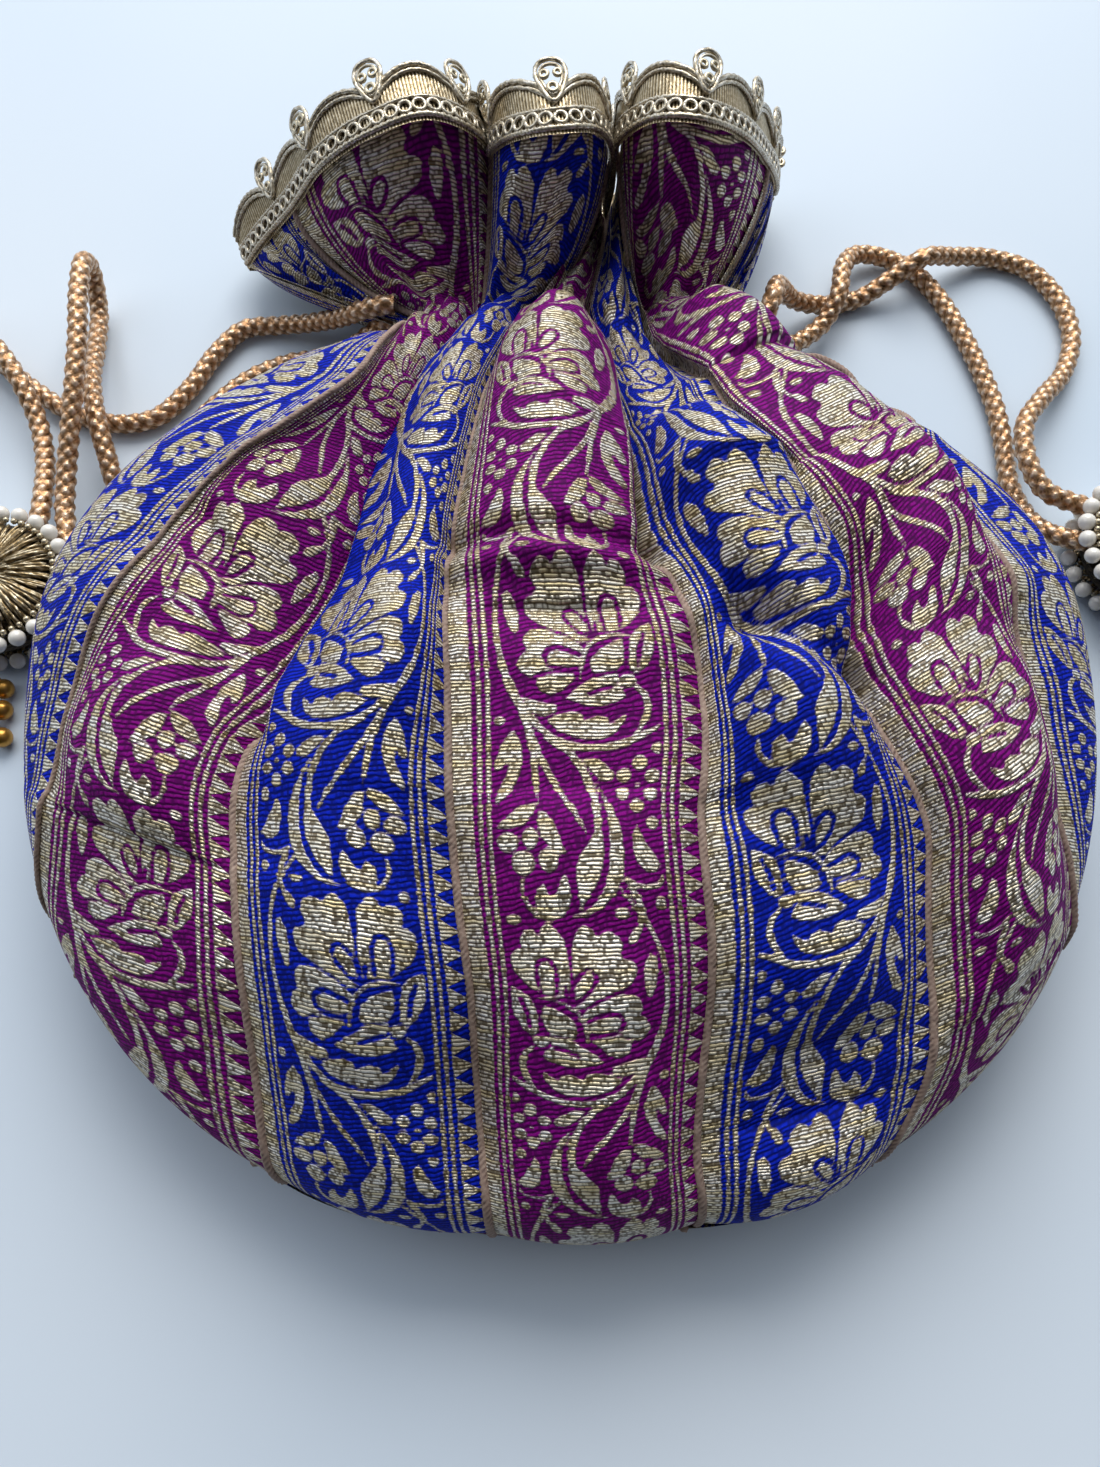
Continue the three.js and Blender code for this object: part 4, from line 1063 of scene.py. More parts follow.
@dataclass(frozen=True)
class YarnFinish(Finish):
    """Metallised yarn: foil-wrapped threads that catch the light on their crowns and go dark between.

    A "crown" attribute on the mesh says how high each point stands in its plait or twist; from it the colour gets a
    painted highlight on the crowns and painted shade between them.
    """

    colour: str = "b0855c"
    # Painted highlight on the thread crowns; shade below is painted shade in the gaps between threads.
    painted_highlight: str = "f4e2cc"
    shade: str = "3a2411"
    metallic: float = 0.6
    roughness: float = 0.3
    thread: float = 0.4

    def dress(self, tree: bpy.types.NodeTree, shader: bpy.types.Node) -> None:
        """Colour from the crown height, broken up at the size of one thread."""
        place = add(tree, "ShaderNodeTexCoord").outputs["Object"]
        speck = add(tree, "ShaderNodeTexNoise", {"Vector": place, "Scale": 1000 / (2.2 * self.thread), "Detail": 2.0})
        crown = add(tree, "ShaderNodeAttribute", attribute_name="crown").outputs["Fac"]
        mixed = add(tree, "ShaderNodeMath", {0: speck, 1: 0.9, 2: crown}, operation="MULTIPLY_ADD")
        low = add(tree, "ShaderNodeMapRange", {"Value": mixed, "From Min": 0.4, "From Max": 0.95})
        high = add(tree, "ShaderNodeMapRange", {"Value": mixed, "From Min": 1.0, "From Max": 1.75})
        # Painted shade where the crown lies low, painted highlight where it stands high.
        body = add(tree, "ShaderNodeMix", {"Factor": low, 6: linear(self.shade), 7: linear(self.colour)},
                   data_type="RGBA")
        full = add(tree, "ShaderNodeMix", {"Factor": high, 6: body.outputs[2], 7: linear(self.painted_highlight)},
                   data_type="RGBA")
        bump = add(tree, "ShaderNodeBump", {"Strength": 0.8, "Distance": 0.0003, "Height": speck})
        tree.links.new(full.outputs[2], shader.inputs["Base Color"])
        tree.links.new(bump.outputs[0], shader.inputs["Normal"])
        shader.inputs["Metallic"].default_value = self.metallic
        shader.inputs["Roughness"].default_value = self.roughness


@dataclass(frozen=True)
class SatinFinish(Finish):
    """Plain woven cloth: soft, with a faint thread grid and uneven dye."""

    colour: str = "c9b98a"
    shade: str = "94835a"
    thread: float = 0.8
    roughness: float = 0.7

    def dress(self, tree: bpy.types.NodeTree, shader: bpy.types.Node) -> None:
        """A thread grid on Object coordinates over clouded colour."""
        place = add(tree, "ShaderNodeTexCoord").outputs["Object"]
        weave = add(tree, "ShaderNodeTexWave", {"Vector": place, "Scale": 314 / self.thread / 2, "Distortion": 0.6},
                    bands_direction="DIAGONAL")
        cloud = add(tree, "ShaderNodeTexNoise", {"Vector": place, "Scale": 60.0, "Detail": 4.0})
        tone = add(tree, "ShaderNodeMath", {0: weave.outputs["Fac"], 1: cloud.outputs["Fac"]}, operation="MULTIPLY")
        tint = add(tree, "ShaderNodeMix", {"Factor": tone, 6: linear(self.shade), 7: linear(self.colour)},
                   data_type="RGBA")
        bump = add(tree, "ShaderNodeBump", {"Strength": 0.4, "Distance": 0.0002, "Height": weave.outputs["Fac"]})
        tree.links.new(tint.outputs[2], shader.inputs["Base Color"])
        tree.links.new(bump.outputs[0], shader.inputs["Normal"])
        shader.inputs["Roughness"].default_value = self.roughness


@dataclass(frozen=True)
class BeadFinish(Finish):
    """Moulded bead: pearl lacquer or gold plating, smooth, with slight cloudiness in the coat."""

    colour: str = "efeee8"
    shade: str = "d9d2c6"
    metallic: float = 0.0
    roughness: float = 0.22
    coat: float = 0.5

    def dress(self, tree: bpy.types.NodeTree, shader: bpy.types.Node) -> None:
        """Clouded colour under a clear coat."""
        place = add(tree, "ShaderNodeTexCoord").outputs["Object"]
        cloud = add(tree, "ShaderNodeTexNoise", {"Vector": place, "Scale": 420.0, "Detail": 3.0})
        tint = add(tree, "ShaderNodeMix", {"Factor": cloud, 6: linear(self.shade), 7: linear(self.colour)},
                   data_type="RGBA")
        tree.links.new(tint.outputs[2], shader.inputs["Base Color"])
        rough = add(tree, "ShaderNodeMapRange", {"Value": cloud, "To Min": self.roughness * 0.7,
                                                 "To Max": self.roughness * 1.4})
        tree.links.new(rough.outputs[0], shader.inputs["Roughness"])
        shader.inputs["Metallic"].default_value = self.metallic
        shader.inputs["Coat Weight"].default_value = self.coat
        shader.inputs["Coat Roughness"].default_value = 0.12


def frames(path: Points) -> Tuple[Points, Points, Points]:
    """Directions along a path that don't twist: along it, and two across it."""
    along = unit(np.gradient(path, axis=0))
    first = np.cross(along[0], (0.0, 0.0, 1.0))
    if np.linalg.norm(first) < 1e-3:
        first = np.cross(along[0], (1.0, 0.0, 0.0))
    across = [unit(first)]
    for t in along[1:]:
        across.append(unit(across[-1] - t * np.dot(across[-1], t)))
    across = np.asarray(across)
    return along, across, np.cross(along, across)


def evenly(path: Points, spacing: float) -> Points:
    """A path with points at an even spacing."""
    marks = arc_marks(path)
    count = max(4, int(round(marks[-1] / spacing)))
    at = np.linspace(0, marks[-1], count + 1)
    return np.stack([np.interp(at, marks, path[:, k]) for k in range(3)], axis=-1)


def tube(path: Points, radius: float, sides: int = 6, closed: bool = False, twist: float = 0.0,
         flat: float = 1.0, strands: int = 2) -> Mesh:
    """A thread or cord along a path.

    Args:
        path: points of its middle.
        radius: its radius.
        sides: corners of its section.
        closed: joins the end to the start.
        twist: length of one turn of its strands, 0 for a plain thread.
        flat: thickness over width.
        strands: how many strands are twisted together.

    Returns:
        The tube, with its crown heights.
    """
    along, across, up = frames(path)
    turn = np.linspace(0, 2 * math.pi, sides, endpoint=False)
    # The crown heights drive the yarn finish's painted highlight on the strands and painted shade between them.
    crown = np.full((len(path), sides), 0.7)
    r = np.full((len(path), sides), radius)
    if twist:
        s = arc_marks(path)[:, None]
        crown = np.abs(np.cos(0.5 * strands * (turn[None, :] - 2 * math.pi * s / twist)))
        r = radius * (0.72 + 0.33 * crown)
    ring = across[:, None] * (np.cos(turn) * r)[..., None] + up[:, None] * (np.sin(turn) * r * flat)[..., None]
    points = path[:, None] + ring
    rows = len(path)
    faces = grid_faces(rows, sides, around=True)
    i = np.arange(sides)
    j = (i + 1) % sides
    last, total = (rows - 1) * sides, rows * sides
    if closed:
        faces = np.concatenate([faces, np.stack([last + i, last + j, j, i], axis=-1)])
        return Mesh(points.reshape(-1, 3), faces, None, {"crown": crown.ravel()})
    ends = np.stack([path[0] - along[0] * radius * 0.4, path[-1] + along[-1] * radius * 0.4])
    caps = [np.stack([j, i, np.full(sides, total), np.full(sides, total)], axis=-1),
            np.stack([last + i, last + j, np.full(sides, total + 1), np.full(sides, total + 1)], axis=-1)]
    points = np.concatenate([points.reshape(-1, 3), ends])
    crown = np.concatenate([crown.ravel(), [0.5, 0.5]])
    return Mesh(points, np.concatenate([faces, *caps]), None, {"crown": crown})


def ball(radius: float, rings: int = 7, sides: int = 10) -> Mesh:
    """A small ball about the origin."""
    lat = np.linspace(0, math.pi, rings + 1)[1:-1]
    lon = np.linspace(0, 2 * math.pi, sides, endpoint=False)
    body = np.stack([np.sin(lat)[:, None] * np.cos(lon), np.sin(lat)[:, None] * np.sin(lon),
                     np.broadcast_to(np.cos(lat)[:, None], (rings - 1, sides))], axis=-1).reshape(-1, 3)
    points = np.concatenate([body, [[0, 0, 1], [0, 0, -1]]]) * radius
    i = np.arange(sides)
    j = (i + 1) % sides
    top, foot = len(body), len(body) + 1
    last = (rings - 2) * sides
    faces = np.concatenate([
        grid_faces(rings - 1, sides, around=True)[:, ::-1],
        np.stack([i, j, np.full(sides, top), np.full(sides, top)], axis=-1),
        np.stack([last + j, last + i, np.full(sides, foot), np.full(sides, foot)], axis=-1)])
    return Mesh(points, faces, None, {"crown": np.full(len(points), 0.9)})


class Repeater:
    """Geometry Nodes that set a shape on every point of a mesh, turned by the point's own "turn"."""

    def __init__(self) -> None:
        """Builds the tree once."""
        tree = bpy.data.node_groups.new("repeat_on_points", "GeometryNodeTree")
        tree.interface.new_socket("Places", in_out="INPUT", socket_type="NodeSocketGeometry")
        self.sockets = {}
        for name, kind in (("Shape", "Object"), ("Size", "Float"), ("Spread", "Float"), ("Seed", "Int"),
                           ("Finish", "Material")):
            item = tree.interface.new_socket(name, in_out="INPUT", socket_type=f"NodeSocket{kind}")
            self.sockets[name] = item.identifier
        tree.interface.new_socket("Pieces", in_out="OUTPUT", socket_type="NodeSocketGeometry")
        given = add(tree, "NodeGroupInput")
        shape = add(tree, "GeometryNodeObjectInfo", {"Object": given.outputs["Shape"]})
        turn = add(tree, "GeometryNodeInputNamedAttribute", {"Name": "turn"}, data_type="FLOAT_VECTOR")
        turned = add(tree, "FunctionNodeEulerToRotation", {"Euler": turn})
        less = add(tree, "ShaderNodeMath", {0: 1.0, 1: given.outputs["Spread"]}, operation="SUBTRACT")
        more = add(tree, "ShaderNodeMath", {0: 1.0, 1: given.outputs["Spread"]}, operation="ADD")
        chance = add(tree, "FunctionNodeRandomValue", {2: less, 3: more, "Seed": given.outputs["Seed"]},
                     data_type="FLOAT")
        size = add(tree, "ShaderNodeMath", {0: chance.outputs[1], 1: given.outputs["Size"]}, operation="MULTIPLY")
        spots = add(tree, "GeometryNodeInstanceOnPoints", {
            "Points": given.outputs["Places"], "Instance": shape.outputs["Geometry"], "Rotation": turned,
            "Scale": size})
        solid = add(tree, "GeometryNodeRealizeInstances", {"Geometry": spots})
        dressed = add(tree, "GeometryNodeSetMaterial", {"Geometry": solid, "Material": given.outputs["Finish"]})
        add(tree, "NodeGroupOutput", {"Pieces": dressed})
        self.tree = tree

    def build(self, name: str, shape: Mesh, places: Points, axes: Points, finish: bpy.types.Material,
              spread: float = 0.0, seed: int = 1, size: float = 1.0) -> bpy.types.Object:
        """Repeats a shape and returns it as one plain mesh.

        Args:
            name: the piece's name.
            shape: the shape, about its own origin.
            places: where each copy goes.
            axes: for each copy, its own X, Y and Z directions as rows.
            finish: the copies' material.
            spread: how uneven the copies' sizes are.
            seed: which unevenness.
            size: scale of all copies.

        Returns:
            The piece, at the origin.
        """
        pattern = make_object(f"{name}_shape", shape, finish, placed=False)
        data = bpy.data.meshes.new(f"{name}_places")
        data.from_pydata(to_frame(places).tolist(), [], [])
        turn = data.attributes.new("turn", "FLOAT_VECTOR", "POINT")
        angles = [Matrix(np.asarray(a, float).T.tolist()).to_euler() for a in axes]
        turn.data.foreach_set("vector", np.asarray([tuple(a) for a in angles], np.float32).ravel())
        spots = bpy.data.objects.new(f"{name}_places", data)
        bpy.context.scene.collection.objects.link(spots)
        modifier = spots.modifiers.new("repeat", "NODES")
        modifier.node_group = self.tree
        given = {"Shape": pattern, "Size": size, "Spread": spread, "Seed": seed, "Finish": finish}
        for key, value in given.items():
            modifier[self.sockets[key]] = value
        bpy.context.view_layer.update()
        made = bpy.data.meshes.new_from_object(spots.evaluated_get(bpy.context.evaluated_depsgraph_get()))
        made.name = name
        made.materials.clear()
        made.materials.append(finish)
        spots.modifiers.clear()
        for scrap in (spots, pattern):
            bpy.data.objects.remove(scrap)
        piece = bpy.data.objects.new(name, made)
        bpy.context.scene.collection.objects.link(piece)
        return piece


def level_axes(directions: Points) -> Points:
    """For each direction, axes with X along it and Z as near upright as can be."""
    x = unit(np.asarray(directions, float))
    up = np.broadcast_to((0.0, 0.0, 1.0), x.shape)
    y = unit(np.cross(up, x))
    return np.stack([x, y, np.cross(x, y)], axis=-2)


@dataclass
class Drawstring:
    """One free strand of plaited cord, from its exit at the neck to its ornament."""

    node: str
    hand: int
    upper: bool
    route: Sequence[Tuple[float, float, float]]
    centre: Tuple[float, float, float]
    entry: float
    diameter: float = 5.0
    seat: float = 41.7
    gap: float = 0.3
    row: float = 3.05
    pearl_circle: float = 17.85
    core_radius: float = 12.0
    stitch: float = 3.5
    columns: int = 4
    sides: int = 24
    spacing: float = 0.5

    def path(self) -> Points:
        """The middle of the cord, the same points as the solid cord's."""
        radius = self.diameter / 2
        z = FORM.side_seam + (self.row if self.upper else -self.row)
        y = -self.hand * self.row
        points = [(self.hand * (self.seat + self.gap), y, z), (self.hand * (self.seat + radius), y, z)]
        for out, along, lift in self.route:
            points.append((self.hand * (self.seat + out), along, radius + self.gap + lift * self.diameter))
        angle = self.entry * math.pi
        towards = np.array([math.cos(angle), math.sin(angle), 0.0])
        for reach in (self.pearl_circle, self.core_radius + self.gap):
            points.append(tuple(np.asarray(self.centre) + towards * reach))
        knots = np.asarray(points, float)
        marks = np.concatenate([[0.0], np.cumsum(np.sqrt(np.linalg.norm(np.diff(knots, axis=0), axis=1)))])
        return evenly(spline(knots, marks, np.linspace(0, marks[-1], 1200)), self.spacing)

    def mesh(self, path: Points) -> Mesh:
        """The plait: two sets of strands that cross over and under each other round a soft core."""
        _, across, up = frames(path)
        s = arc_marks(path)[:, None]
        turn = np.linspace(0, 2 * math.pi, self.sides, endpoint=False)[None, :]
        part = turn * self.columns / (2 * math.pi)
        one, other = part + s / self.stitch, part - s / self.stitch
        over = (np.floor(one) + np.floor(other)) % 2 == 0
        wide, long = one - np.floor(one) - 0.5, other - np.floor(other) - 0.5
        wide, long = np.where(over, wide, long), np.where(over, long, wide)
        # The crown drives the cord's painted highlight on each strand and painted shade where strands pass under.
        crown = np.cos(math.pi * wide) ** 0.7 * (1 - 0.75 * np.abs(2 * long) ** 3)
        r = self.diameter / 2 * (0.76 + 0.3 * crown)
        ring = across[:, None] * (np.cos(turn) * r)[..., None] + up[:, None] * (np.sin(turn) * r)[..., None]
        points = (path[:, None] + ring).reshape(-1, 3)
        return Mesh(points, grid_faces(len(path), self.sides, around=True), None, {"crown": crown.ravel()})

    def build(self, finish: bpy.types.Material, dangles: Sequence[bpy.types.Object]) -> bpy.types.Object:
        path = self.path()
        piece = make_object(f"{self.node}_plait", self.mesh(path), finish)
        hand_over(piece, [self.node])
        return piece


@dataclass
class Ornament:
    """A dangle: two rosettes of bullion thread back to back, pearls round their rims, beads below."""

    hand: str
    centre: Tuple[float, float, float]
    radius: float = 15.5
    dome: float = 5.5
    rim: float = 1.8
    core_half: float = 2.8
    tier: float = 5.15
    pearl: float = 4.1
    pearls: int = 24
    circle: float = 17.85
    threads: int = 78
    bead: float = 5.0
    seed: int = 5

    def at(self, points: Points) -> Points:
        """Places about the ornament's own middle, moved to where it lies."""
        return np.asarray(points, float) + np.asarray(self.centre)

    def height(self, r: Points) -> Points:
        """The dome's height over its flat face."""
        return self.rim + (self.dome - self.rim) * np.sqrt(np.clip(1 - (r / self.radius) ** 2, 0, 1))

    def rosette(self, name: str, facing: int, finish: bpy.types.Material) -> bpy.types.Object:
        """A dome of radial bullion threads in two layers."""
        rng = np.random.default_rng(self.seed + facing)
        parts = []
        for layer, (count, lift) in enumerate(((self.threads, -0.2), (self.threads // 2, 0.35))):
            for k in range(count):
                angle = 2 * math.pi * (k + rng.uniform(-0.3, 0.3)) / count
                inner, outer = rng.uniform(2.0, 3.4), self.radius * rng.uniform(0.93, 1.06)
                if layer:
                    inner, outer = rng.uniform(2.6, 6.0), self.radius * rng.uniform(0.7, 1.08)
                r = np.linspace(inner, outer, 9)
                bent = angle + rng.uniform(-0.07, 0.07) * (r / outer) ** 2
                z = self.core_half + self.height(np.minimum(r, self.radius)) + lift + rng.uniform(-0.25, 0.25)
                z = np.where(r < 4, z - 0.9 * (1 - (r - 2) / 2), z)
                path = np.stack([r * np.cos(bent), r * np.sin(bent), facing * z], axis=-1)
                parts.append(tube(self.at(path), rng.uniform(0.42, 0.62), sides=5, twist=2.0))
        felt = np.linspace(0.4, self.radius, 8)
        turn = np.linspace(0, 2 * math.pi, 36, endpoint=False)
        base = np.stack([felt[:, None] * np.cos(turn), felt[:, None] * np.sin(turn),
                         np.broadcast_to((facing * (self.core_half + self.height(felt) - 0.8))[:, None], (8, 36))],
                        axis=-1)
        faces = grid_faces(8, 36, around=True)
        # With crown 0 the felt takes the bullion finish's darkest colour, painted shade between the threads.
        pad = Mesh(self.at(base.reshape(-1, 3)), faces[:, ::-1] if facing < 0 else faces, None,
                   {"crown": np.zeros(8 * 36)})
        return make_object(name, joined(parts + [pad]), finish)

    def ring_places(self, count: int, circle: float, z: float) -> Tuple[Points, Points]:
        """Even places on a circle, with axes that point outwards."""
        turn = np.linspace(0, 2 * math.pi, count, endpoint=False)
        out = np.stack([np.cos(turn), np.sin(turn), np.zeros(count)], axis=-1)
        return self.at(out * circle + (0, 0, z)), level_axes(out)

    def drop(self, finish: bpy.types.Material) -> bpy.types.Object:
        """The cluster of gold beads that lies below the rosettes."""
        rim = self.circle + self.pearl / 2
        z = self.bead / 2 + self.gap_to_table()
        marks = [(0.4, 0.9), (-0.6, 1.6), (0.5, 2.0), (-0.1, 2.9), (0.7, 3.4)]
        places = self.at([(x * self.bead, -rim - d * self.bead, z) for x, d in marks])
        line = np.concatenate([self.at([(0, -12.3, 0), (0, -rim, z * 0.5)]), places])
        bead = ball(self.bead / 2, 12, 18)
        beads = [Mesh(bead.points + p, bead.faces, None, {"crown": np.full(len(bead.points), 0.9)}) for p in places]
        parts = beads + [tube(evenly(line, 1.0), 0.5, sides=6, twist=1.6)]
        return make_object(f"{self.hand}_gold_beads", joined(parts), finish)

    def gap_to_table(self) -> float:
        """From the ornament's middle down to the bead line's foot."""
        return 0.3 - self.centre[2]

    def build(self, repeater: Repeater, finishes: Dict[str, bpy.types.Material]) -> List[bpy.types.Object]:
        """Builds all pieces of the ornament and hands them over."""
        made = []
        for facing, side in ((1, "front"), (-1, "back")):
            rosette = self.rosette(f"{self.hand}_{side}_bullion", facing, finishes["bullion"])
            made.append(hand_over(rosette, [f"{self.hand}_{side}_rosette"]))
            places, axes = self.ring_places(self.pearls, self.circle, facing * self.tier)
            pearls = repeater.build(f"{self.hand}_{side}_pearls", ball(self.pearl / 2, 10, 14), places, axes,
                                    finishes["pearl"], spread=0.06, seed=self.seed + facing)
            made.append(hand_over(pearls, [f"{self.hand}_{side}_pearl_ring"]))
            places, axes = self.ring_places(self.pearls * 2, self.radius + 0.2, facing * (self.tier + 1.1))
            seeds = repeater.build(f"{self.hand}_{side}_seed_beads", ball(0.85, 5, 8), places, axes,
                                   finishes["seed"], spread=0.15, seed=self.seed)
            made.append(hand_over(seeds, []))
        turn = np.linspace(0, 2 * math.pi, 60, endpoint=False)
        coil = np.stack([12.6 * np.cos(turn), 12.6 * np.sin(turn), 1.6 * np.sin(turn * 15)], axis=-1)
        core = make_object(f"{self.hand}_wrapped_core", joined([
            tube(self.at(coil * (0.92, 0.92, 1) + (0, 0, lift)), 1.0, sides=7, closed=True, twist=2.4)
            for lift in (-1.7, 0.0, 1.7)]), finishes["bullion"])
        made.append(hand_over(core, [f"{self.hand}_ornament_core"]))
        made.append(hand_over(self.drop(finishes["gold"]), [f"{self.hand}_bead_drop"]))
        return made


@dataclass
class ChannelLoop:
    """The stretch of a drawstring inside the neck's channel, both ends at one side."""

    node: str
    hand: int
    reach: float = 33.0
    rise: float = 2.4
    level: float = 17.0
    radius: float = 2.1

    def build(self, finish: bpy.types.Material) -> bpy.types.Object:
        """Builds the hidden stretch and hands it over."""
        turn = np.linspace(math.radians(24), math.radians(336), 90)
        path = np.stack([self.hand * self.reach * np.cos(turn), np.full_like(turn, -2.6 * self.hand),
                         self.level + self.rise * np.sin(turn)], axis=-1)
        mesh = tube(evenly(path, 0.9), self.radius, sides=8, twist=5.0, strands=3)
        return hand_over(make_object(f"{self.node}_plait", mesh, finish), [self.node])


@dataclass
class SeamBraid:
    """The braided selvedge that stands up along a seam."""

    radius: float = 1.0
    flat: float = 0.7
    turn: float = 3.4
    lift: float = 0.25

    def build(self, name: str, seam: Points, side: Side, spacing: float, sides: int,
              finish: bpy.types.Material) -> bpy.types.Object:
        """Builds one braid along a seam's points and hands it over."""
        path = evenly(seam, spacing)
        out = FORM.normal(path[:, 0], np.minimum(path[:, 1], 0.0), side)
        path = path + out * self.lift
        mesh = tube(path, self.radius, sides=sides, twist=self.turn, flat=self.flat, strands=3)
        return hand_over(make_object(name, mesh, finish), [])


@dataclass
class LaceTrim:
    """Gold lace on one side of the mouth: a ring row, a band of upright threads, scallops and standing loops."""

    name: str
    panel: Panel
    lean: Tuple[float, float] = (-0.42, 0.12)
    rise: float = 0.12
    scallop: float = 21.0
    low: float = 7.2
    high: float = 13.5
    ring_row: float = 2.3
    ring_pitch: float = 3.2
    band_foot: float = 4.6
    thread: float = 0.8
    overlap: float = 1.6
    loop_height: float = 11.0
    loop_half: float = 3.9

    def __post_init__(self) -> None:
        """Samples the rim at even steps, with the lace's own directions on it."""
        rim = np.asarray(self.panel.rim, float)
        c = np.linspace(-6, 6, 1600)
        foot = spline(rim[:, 1:], rim[:, 0], c)
        marks = arc_marks(foot)
        self.length = float(marks[-1])
        self.marks = np.linspace(0, self.length, 900)
        self.foot = np.stack([np.interp(self.marks, marks, foot[:, k]) for k in range(3)], axis=-1)
        share = np.linspace(0, 1, len(self.marks))
        lean = self.lean[0] * (1 - share) ** 2 + self.lean[1] * share ** 2
        self.up = unit(np.stack([lean, np.ones_like(lean), np.full_like(lean, self.rise)], axis=-1))
        along = unit(np.gradient(self.foot, axis=0))
        out = unit(np.cross(along, self.up)) * self.panel.side.value
        kernel = np.hanning(31) / np.hanning(31).sum()
        self.out = unit(np.stack([np.convolve(np.pad(out[:, k], 15, mode="edge"), kernel, "valid")
                                  for k in range(3)], axis=-1))

    def pick(self, s: Points, row: Points) -> Points:
        """A row of directions or places, read off along the lace."""
        return np.stack([np.interp(s, self.marks, row[:, k]) for k in range(3)], axis=-1)

    def spot(self, s: Points, t: Points, out: Points = 0.0) -> Points:
        """Places on the lace: along it, up it and out of it."""
        s, t, out = np.broadcast_arrays(np.asarray(s, float), t, out)
        foot, up, face = (self.pick(s, row) for row in (self.foot, self.up, self.out))
        return foot + up * t[..., None] + face * (out + 0.6)[..., None]

    def crest(self, s: Points) -> Points:
        """Height of the scalloped edge."""
        wave = np.abs(np.sin(math.pi * np.asarray(s, float) / self.scallop)) ** 0.6
        return self.low + (self.high - self.low) * wave

    def band(self) -> Mesh:
        """The gauze of upright metal threads, as a fluted sheet."""
        s = np.arange(0, self.length, self.thread / 2)
        t = np.linspace(0, 1, 9)[:, None]
        crest = self.crest(s)
        lift = 0.22 * np.cos(math.pi * np.arange(len(s))) + 0.35 * np.sin(s / 3.1)
        up = t * (crest + self.overlap) - self.overlap
        points = self.spot(np.broadcast_to(s, (9, len(s))), up, lift * np.sin(math.pi * np.clip(t, 0.05, 1)))
        # Every other column gets crown 0, which the gauze finish paints as shade between the upright threads.
        crown = np.broadcast_to(0.5 + 0.5 * np.cos(math.pi * np.arange(len(s))), (9, len(s)))
        faces = grid_faces(9, len(s))
        if self.panel.side is Side.BACK:
            faces = faces[:, ::-1]
        return Mesh(points.reshape(-1, 3), faces, None, {"crown": crown.ravel()})

    def cords(self) -> Mesh:
        """The cords that edge the ring row and the scallops, and the outlines of the standing loops."""
        s = np.arange(0.5, self.length - 0.5, 0.55)
        rows = [(np.full_like(s, -0.2), 0.75), (np.full_like(s, self.band_foot), 0.6), (self.crest(s), 0.7),
                (self.crest(s) - 1.6, 0.55)]
        parts = [tube(self.spot(s, t, 0.35), r, sides=6, twist=1.7) for t, r in rows]
        turn = np.linspace(0, 2 * math.pi, 26, endpoint=False)
        for mid in self.loops():
            egg = self.loop_half * np.cos(turn) * (0.74 + 0.34 * np.sin(turn))
            t = self.low - 0.8 + self.loop_height / 2 * (1 + np.sin(turn))
            parts.append(tube(self.spot(mid + egg, t, 0.8), 0.6, sides=6, closed=True, twist=1.7))
            parts.append(tube(self.spot(mid + egg * 0.72, t * 0.74 + 0.26 * (self.low + 5.2), 0.8), 0.42, sides=5,
                              closed=True, twist=1.7))
        return joined(parts)

    def loops(self) -> Points:
        """Where the standing loops are, in the valleys between scallops."""
        return np.arange(self.scallop * 0.5, self.length - 3, self.scallop) + self.scallop * 0.5

    def axes(self, s: Points) -> Points:
        """Axes on the lace: along, up and out."""
        ahead = self.spot(s + 0.2, 0.0) - self.spot(s - 0.2, 0.0)
        up = self.spot(s, 1.0) - self.spot(s, 0.0)
        x = unit(ahead)
        z = unit(np.cross(x, up))
        return np.stack([x, np.cross(z, x), z], axis=-2)

    def build(self, repeater: Repeater, finishes: Dict[str, bpy.types.Material],
              nodes: Sequence[str]) -> List[bpy.types.Object]:
        """Builds the lace and hands its pieces over."""
        band = hand_over(make_object(f"{self.name}_band", self.band(), finishes["lace"]), nodes)
        cords = hand_over(make_object(f"{self.name}_cords", self.cords(), finishes["lace_cord"]), [])
        turn = np.linspace(0, 2 * math.pi, 12, endpoint=False)
        circle = np.stack([np.cos(turn), np.sin(turn), np.zeros(12)], axis=-1)
        s = np.arange(2.0, self.length - 2.0, self.ring_pitch)
        rings = repeater.build(f"{self.name}_rings", tube(circle * 1.5, 0.48, sides=6, closed=True),
                               self.spot(s, self.ring_row, 0.5), self.axes(s), finishes["lace_cord"],
                               spread=0.05, seed=3)
        hand_over(rings, [])
        marks = np.concatenate([self.loops() + side for side in (0.0, -1.35, 1.35)])
        heights = np.repeat([self.low + 2.6, self.low + 6.2, self.low + 6.4], len(self.loops()))
        cup = tube(circle * 0.95, 0.52, sides=6, closed=True)
        sequins = repeater.build(f"{self.name}_sequins", cup, self.spot(marks, heights, 0.9), self.axes(marks),
                                 finishes["seed"], spread=0.18, seed=8)
        hand_over(sequins, [])
        return [band, cords, rings, sequins]


